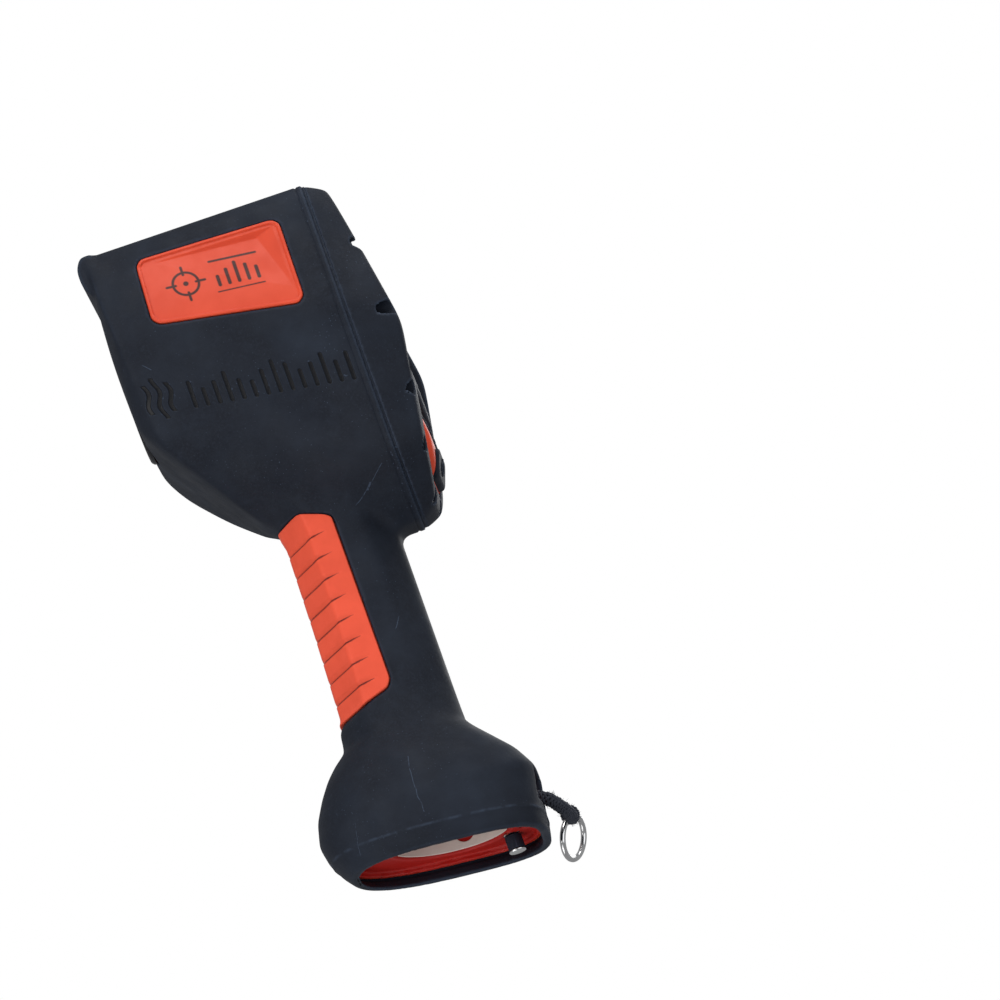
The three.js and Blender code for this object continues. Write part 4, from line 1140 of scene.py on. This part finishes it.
def braid(path, along, radius, strands=8, pitch=9.0, strand=0.62, closed=False):
    """Strands that wind both ways around a path and pass over and under each other, on a core."""
    _, side, other = frames(path, closed)
    turns = max(1, round(along[-1] / pitch))
    phase = along / along[-1] * turns * 2 * math.pi
    parts = [pipe(path, np.broadcast_to(radius, len(path)) * 0.74, 12, closed)]
    for way in (-1, 1):
        for i in range(strands // 2):
            angle = way * phase + i * 4 * math.pi / strands
            lift = 1 + 0.13 * way * np.cos(strands / 2 * phase)
            reach = (radius * 0.84 * lift)[:, None]
            parts.append(pipe(path + reach * around(angle, side, other), strand, 6, closed))
    return parts


def fuzz(rng, path, radius, count, reach=(0.6, 2.2)):
    """Short bent hairs that stand out of the cord."""
    parts = []
    tangent, side, other = frames(path)
    for _ in range(count):
        i = rng.integers(2, len(path) - 2)
        out = around(rng.uniform(0, 2 * math.pi), side[i], other[i])
        length = rng.uniform(*reach)
        lean = tangent[i] * rng.uniform(-1, 1) + np.cross(out, tangent[i]) * rng.uniform(-1, 1)
        start = path[i] + out * np.broadcast_to(radius, len(path))[i] * 0.85
        t = np.linspace(0, 1, 5)[:, None]
        line = start + out * t * length + lean * t**2 * length * 0.8
        parts.append(pipe(line, np.linspace(0.09, 0.04, 5), 4))
    return parts


def lanyard_cord():
    rng = np.random.default_rng(7)
    outward = CORD_EYE - 0.6 * HANG
    ends = CORD_EXIT + (0.2, 0, 0), outward + (0.1, -3.4, 0.3)
    sag = (42.4, 4, 11), (46.8, 13, 7.4), (48.2, 25, 7.2), (48.6, 37, 8.8)
    path, along = curve_through([ends[0], *sag, ends[1]], 150)
    wobble = 1 + 0.05 * np.sin(along * 1.3) + 0.04 * np.sin(along * 2.9 + 1)
    radius = np.interp(along / along[-1], (0, 0.1, 0.8, 1), (2.2, 2.45, 2.4, 2.0)) * wobble
    parts = braid(path, along, radius, 10, 8.0)
    parts += fuzz(rng, path, radius, 230)
    turn = full_turn(60)
    circle = EYE_RADIUS * around(turn, HANG, np.cross(RING_ALONG, HANG))
    for shift in (-1.1, 1.1):
        loop = outward + circle + RING_ALONG * shift
        parts += braid(loop, turn * EYE_RADIUS, np.full(60, 0.95), 6, 4.4, 0.34, closed=True)
    parts += fuzz(rng, loop, 0.9, 50, (0.4, 1.3))
    points, faces = gathered(parts)
    return new_mesh("lanyard_cord", points, faces)


def lanyard_ring():
    """A round ring of wire with a faint weld."""
    turn = full_turn(160)
    outward = around(turn, HANG, RING_ALONG)
    path = CORD_EYE + RING_RADIUS * (HANG + outward)
    tangent, _, _ = frames(path, closed=True)
    wire = RING_WIRE + 0.09 * np.exp(-(((turn - 2.2) / 0.05) ** 2))
    spokes = around(full_turn(28), outward[:, None], np.cross(tangent, outward)[:, None])
    return new_mesh("lanyard_ring", *swept_round(path[:, None] + wire[:, None, None] * spokes))


# Every piece


def near_marks(p):
    side = (np.abs(p[:, 1]) > 30) & (p[:, 0] < 32) & (p[:, 2] > 188) & (p[:, 2] < 232)
    near = np.zeros(len(p), bool)
    near[side] = pressed_mark(p[side]) < 1.2
    return near | ((np.abs(p[:, 0] - SEAM + 2.7) < 1.1) & (p[:, 2] > 132))


def near_print(p):
    return badge_mark(p) < 0.7


def build_body():
    """The jacket, the housing, the grip and the badges."""
    solid("jacket_rubber", jacket, (-70, -60, -6), (48, 60, 282), 0.95, "black_rubber", "body_jacket",
          print_and_shade_field=pressed_mark, fine=near_marks)
    # The housing gets painted shade, a darker red, on the deep walls of the foot's cup
    solid("housing_shell", housing, (-64, -56, -6), (44, 56, 276), 1.0, "orange_plastic", "inner_housing",
          print_and_shade_field=cup_painted_shade, look="housing_orange")
    # The grip pad gets painted shade, a dark line, in the corner under each rib's edge
    solid("grip_pad", grip, (-32, -26, 62), (2, 26, 156), 0.36, "orange_grip_rubber", "grip_insert",
          print_and_shade_field=grip_painted_shade)
    for side, name in ((-1, "left"), (1, "right")):
        low, high = sorted((side * BADGE_DEPTH, side * 57))
        solid(f"badge_{name}", badge(side), (-46, low, 222), (22, high, 270), 0.38, "orange_plastic",
              f"side_badge_{name}", print_and_shade_field=badge_mark, fine=near_print, levels=1)


def build_rear():
    """The bezel with its seal, screws and display, and the panel with its buttons."""
    solid("seam_seal", gasket, (31, -58, 132), (35, 58, 278), 0.3, "black_rubber", "seam_gasket")
    solid("bezel_rear", bezel, (31, -58, 132), (58, 58, 278), 0.7, "black_rubber", "rear_bezel")
    solid("panel_orange", panel, (38, -30, 144), (52, 30, 187), 0.45, "orange_plastic", "button_panel")
    for name, (half, y, low, high, reach, _) in BUTTONS.items():
        corners = (38.5, y - half - 2, low - 1), (reach + 3, y + half + 2, high + 1)
        solid(f"{name}_key", button(name), *corners, 0.36, "black_rubber", name, body=name)
    points, quads = surface(screw_field, (-14.5, -3.4, -3.4), (3, 3.4, 3.4), 0.15)
    number = 0
    for y, z, x in SCREWS:
        for side in (-1, 1):
            number += 1
            mesh = new_mesh(f"screw_{number}", points + (x + 0.2, side * y, z), quads)
            piece(f"screw_{number}", mesh, "black_steel", f"bezel_screw_{number}")
    solid("display_pane", glass, (40, -41, 186), (43.4, 41, 263), 0.5, "display_glass", "display_glass")


def build_front():
    """The ring around the lens and its window."""
    forward = (-1, 0, 0)
    ring = corner([(14.2, 0), (20.6, 0), (20.6, 1.2), (19.6, 2.2), (17.2, 2.2), (14.2, 0.9)])
    piece("lens_bezel", lathe(ring, (-61.9, 0, LENS_Z), forward), "black_steel", "lens_ring", sharp=40)
    pane = [(0, 0), (15.6, 0), (15.6, 1.9), (15.2, 2.35), (14, 2.4), (9, 2.4), (4, 2.4), (0, 2.4)]
    piece("lens_window", lathe(pane, (-58.6, 0, LENS_Z), forward), "germanium", "front_window", sharp=40)


def build_battery():
    solid("battery_body", battery_case, (-18, -18, 36), (18, 18, 181), 0.6, "orange_plastic", "battery_case",
          body="battery")
    solid("battery_end", battery_cap, (-25, -25, 10), (25, 25, 42), 0.5, "orange_plastic", "battery_cap",
          body="battery")
    seal = [(21.5 + 1.45 * math.cos(a), 34.1 + 2.0 * math.sin(a)) for a in full_turn(20)]
    piece("battery_seal", lathe(seal, (0, 0, 0), (0, 0, 1)), "black_rubber", "battery_oring", body="battery")
    sticker = wrap(15.8, 16.1, 122, 158, -math.pi / 2, 1.1)
    solid("battery_sticker", sticker, (-17, -17, 121), (17, -6, 159), 0.24, "white_label", "battery_label",
          print_and_shade_field=label_mark, body="battery")
    solid("bay_sticker", bay_label, (-25, 8, 4), (25, 26, 22), 0.24, "white_label", "bay_label")


def build_lanyard():
    up = (0, 0, 1)
    anchor = (*ANCHOR, 0)
    post = [(0, -1.6), (1.6, -1.6), (3.4, -1.9), (3.7, -1.6), (3.7, -1.3), (3.4, -1.1), (1.6, -1.1),
            (1.6, 5.3), (3.4, 5.3), (3.7, 5.5), (3.7, 5.9), (3.4, 6.1), (1.6, 6.1), (1.6, 14), (0, 14)]
    piece("anchor_post", lathe(post, anchor, up, 64), "bright_steel", "lanyard_anchor_post", sharp=50)
    sleeve = corner([(1.9, -0.8), (3.5, -0.8), (3.5, 5), (1.9, 5)], 0.35)
    piece("anchor_sleeve", lathe(sleeve, anchor, up, 64), "black_plastic", "lanyard_anchor_sleeve",
          look="black_rubber")
    pin = [(0, 5.5), (1.1, 5.5), (1.3, 5.7), (1.3, 20.8), (1.1, 21), (0, 21)]
    piece("pivot_pin", lathe(pin, (*PIVOT, 0), up, 48), "bright_steel", "lanyard_pivot_pin", sharp=50)
    piece("cord_braid", lanyard_cord(), "black_cord", "lanyard_cord", body="cord")
    piece("key_ring", lanyard_ring(), "bright_steel", "lanyard_ring", body="ring")


CAD_SLOTS = {
    "black_rubber": ["display_gasket", "window_gasket"],
    "black_plastic": ["display_module", "contact_block"],
    "circuit_board": ["button_board", "main_board", "sensor_array"],
    "black_aluminium": ["lens_barrel", "sensor_housing"],
    "germanium": ["lens_element"],
    "black_steel": ["shutter_flag"],
    "bare_aluminium": ["heat_spreader", "processor_shield"],
    "flex_circuit": ["sensor_flex", "display_flex"],
    "brass_contact": ["spring_contact_1", "spring_contact_2", "battery_centre_pad", "battery_ring_pad"],
    "red_wire": ["power_lead_positive"],
    "black_wire": ["power_lead_negative"],
    "cell_wrap": ["cell_1", "cell_2"],
    "black_cord": ["lanyard_loop"],
}


def dress_cad_pieces():
    """Pieces inside the body keep their CAD shape and get a finish."""
    for name, nodes in CAD_SLOTS.items():
        for cad_name in nodes:
            thing = frame["nodes"][cad_name]
            thing.data.materials.clear()
            thing.data.materials.append(LOOKS[name])


# Stage


def floor_material():
    """Pale paper that only the camera sees, and only from above: light and other views pass through it."""
    look = Look("pale_floor")
    tree = look.tree
    grain = look.mix(look.noise(300, 4), (0.78, 0.78, 0.78), (0.83, 0.83, 0.83))
    paper = node(tree, "ShaderNodeBsdfDiffuse", {"Color": grain})
    clear = node(tree, "ShaderNodeBsdfTransparent")
    below = node(tree, "ShaderNodeNewGeometry").outputs["Backfacing"]
    seen = node(tree, "ShaderNodeLightPath").outputs["Is Camera Ray"]
    through = look.math("MAXIMUM", below, look.math("SUBTRACT", 1.0, seen))
    mixed = node(tree, "ShaderNodeMixShader", {0: through, 1: paper.outputs[0], 2: clear.outputs[0]})
    node(tree, "ShaderNodeOutputMaterial", {"Surface": mixed.outputs[0]})
    return look.material


def floor():
    reach = 3.0
    corners = [(x * reach, y * reach, 0) for x, y in ((-1, -1), (1, -1), (1, 1), (-1, 1))]
    mesh = bpy.data.meshes.new("floor")
    mesh.from_pydata(corners, [], [(0, 1, 2, 3)])
    mesh.materials.append(floor_material())
    thing = in_scene("floor", mesh)
    thing.location.z = -0.0004


def world():
    """White to the camera, and a dim even light on the object."""
    made = bpy.data.worlds.new("studio")
    made.use_nodes = True
    tree = made.node_tree
    tree.nodes.clear()
    seen = node(tree, "ShaderNodeBackground", {"Color": (1, 1, 1, 1), "Strength": 1.0})
    up = node(tree, "ShaderNodeSeparateXYZ", {0: node(tree, "ShaderNodeTexCoord").outputs["Generated"]})
    levels = {"Value": up.outputs["Z"], "From Min": -1.0, "From Max": 1.0, "To Min": 0.33, "To Max": 0.38}
    strength = node(tree, "ShaderNodeMapRange", levels).outputs[0]
    felt = node(tree, "ShaderNodeBackground", {"Color": (0.97, 0.98, 1, 1), "Strength": strength})
    camera_ray = node(tree, "ShaderNodeLightPath").outputs["Is Camera Ray"]
    mixed = node(tree, "ShaderNodeMixShader", {0: camera_ray, 1: felt.outputs[0], 2: seen.outputs[0]})
    node(tree, "ShaderNodeOutputWorld", {"Surface": mixed.outputs[0]})
    bpy.context.scene.world = made


# The camera's tilt, roll and turn from the side at y < 0, and its place from the middle of the object
TILT = math.radians(17)
ROLL = math.radians(20)
YAW = math.radians(-0.2)
SIGHT = np.array((-math.sin(YAW) * math.cos(TILT), math.cos(YAW) * math.cos(TILT), math.sin(TILT)))
LEVEL = np.array((math.cos(YAW), math.sin(YAW), 0))
RISE = np.cross(LEVEL, SIGHT)
VIEW_RIGHT = math.cos(ROLL) * LEVEL - math.sin(ROLL) * RISE
VIEW_UP = math.sin(ROLL) * LEVEL + math.cos(ROLL) * RISE
AIM = np.array((0, 0, 150))
FROM_AIM = (66.1, 8.5, 2443.5)


def turned(direction):
    return Vector(np.asarray(direction) @ TURN)


def camera():
    """A long lens far away, as the photograph shows hardly any perspective."""
    data = bpy.data.cameras.new("camera")
    data.lens = 216
    data.sensor_width = 36
    data.clip_start, data.clip_end = 0.1, 20
    thing = in_scene("camera", data)
    axes = Matrix((turned(VIEW_RIGHT), turned(VIEW_UP), turned(-SIGHT))).transposed()
    right, up, away = FROM_AIM
    eye = AIM + right * VIEW_RIGHT + up * VIEW_UP - away * SIGHT
    thing.matrix_world = Matrix.Translation(Vector(place(eye[None])[0])) @ axes.to_4x4()
    bpy.context.scene.camera = thing


def lamp(name, right, up, towards, distance, size, power, color=(1, 1, 1)):
    """A soft square light, placed by the camera's own axes around the middle of the object."""
    data = bpy.data.lights.new(name, "AREA")
    data.size = size
    data.energy = power
    data.color = color
    thing = in_scene(name, data)
    direction = turned(right * VIEW_RIGHT + up * VIEW_UP - towards * SIGHT).normalized()
    middle = Vector(place(AIM[None])[0])
    thing.location = middle + direction * distance
    thing.rotation_mode = "QUATERNION"
    thing.rotation_quaternion = direction.to_track_quat("Z", "Y")


def lights():
    lamp("key", -0.35, 1.0, 0.45, 1.1, 0.6, 4.6, (1, 0.985, 0.96))
    lamp("left", -0.8, -0.1, 1.0, 1.3, 0.9, 6.4, (1, 0.99, 0.97))
    lamp("fill", 0.8, 0.0, 1.0, 1.3, 0.9, 3.4, (0.96, 0.98, 1))
    lamp("top", 0.35, 1.0, -0.1, 1.1, 0.5, 3.6)
    lamp("low", -0.2, -1.0, 0.6, 1.3, 0.8, 3.4)
    lamp("back", 0.4, 0.3, -1.0, 1.3, 0.9, 4.5)


build_body()
build_rear()
build_front()
build_battery()
build_lanyard()
dress_cad_pieces()
floor()
world()
lights()
camera()
bpy.context.scene.view_settings.view_transform = "Standard"
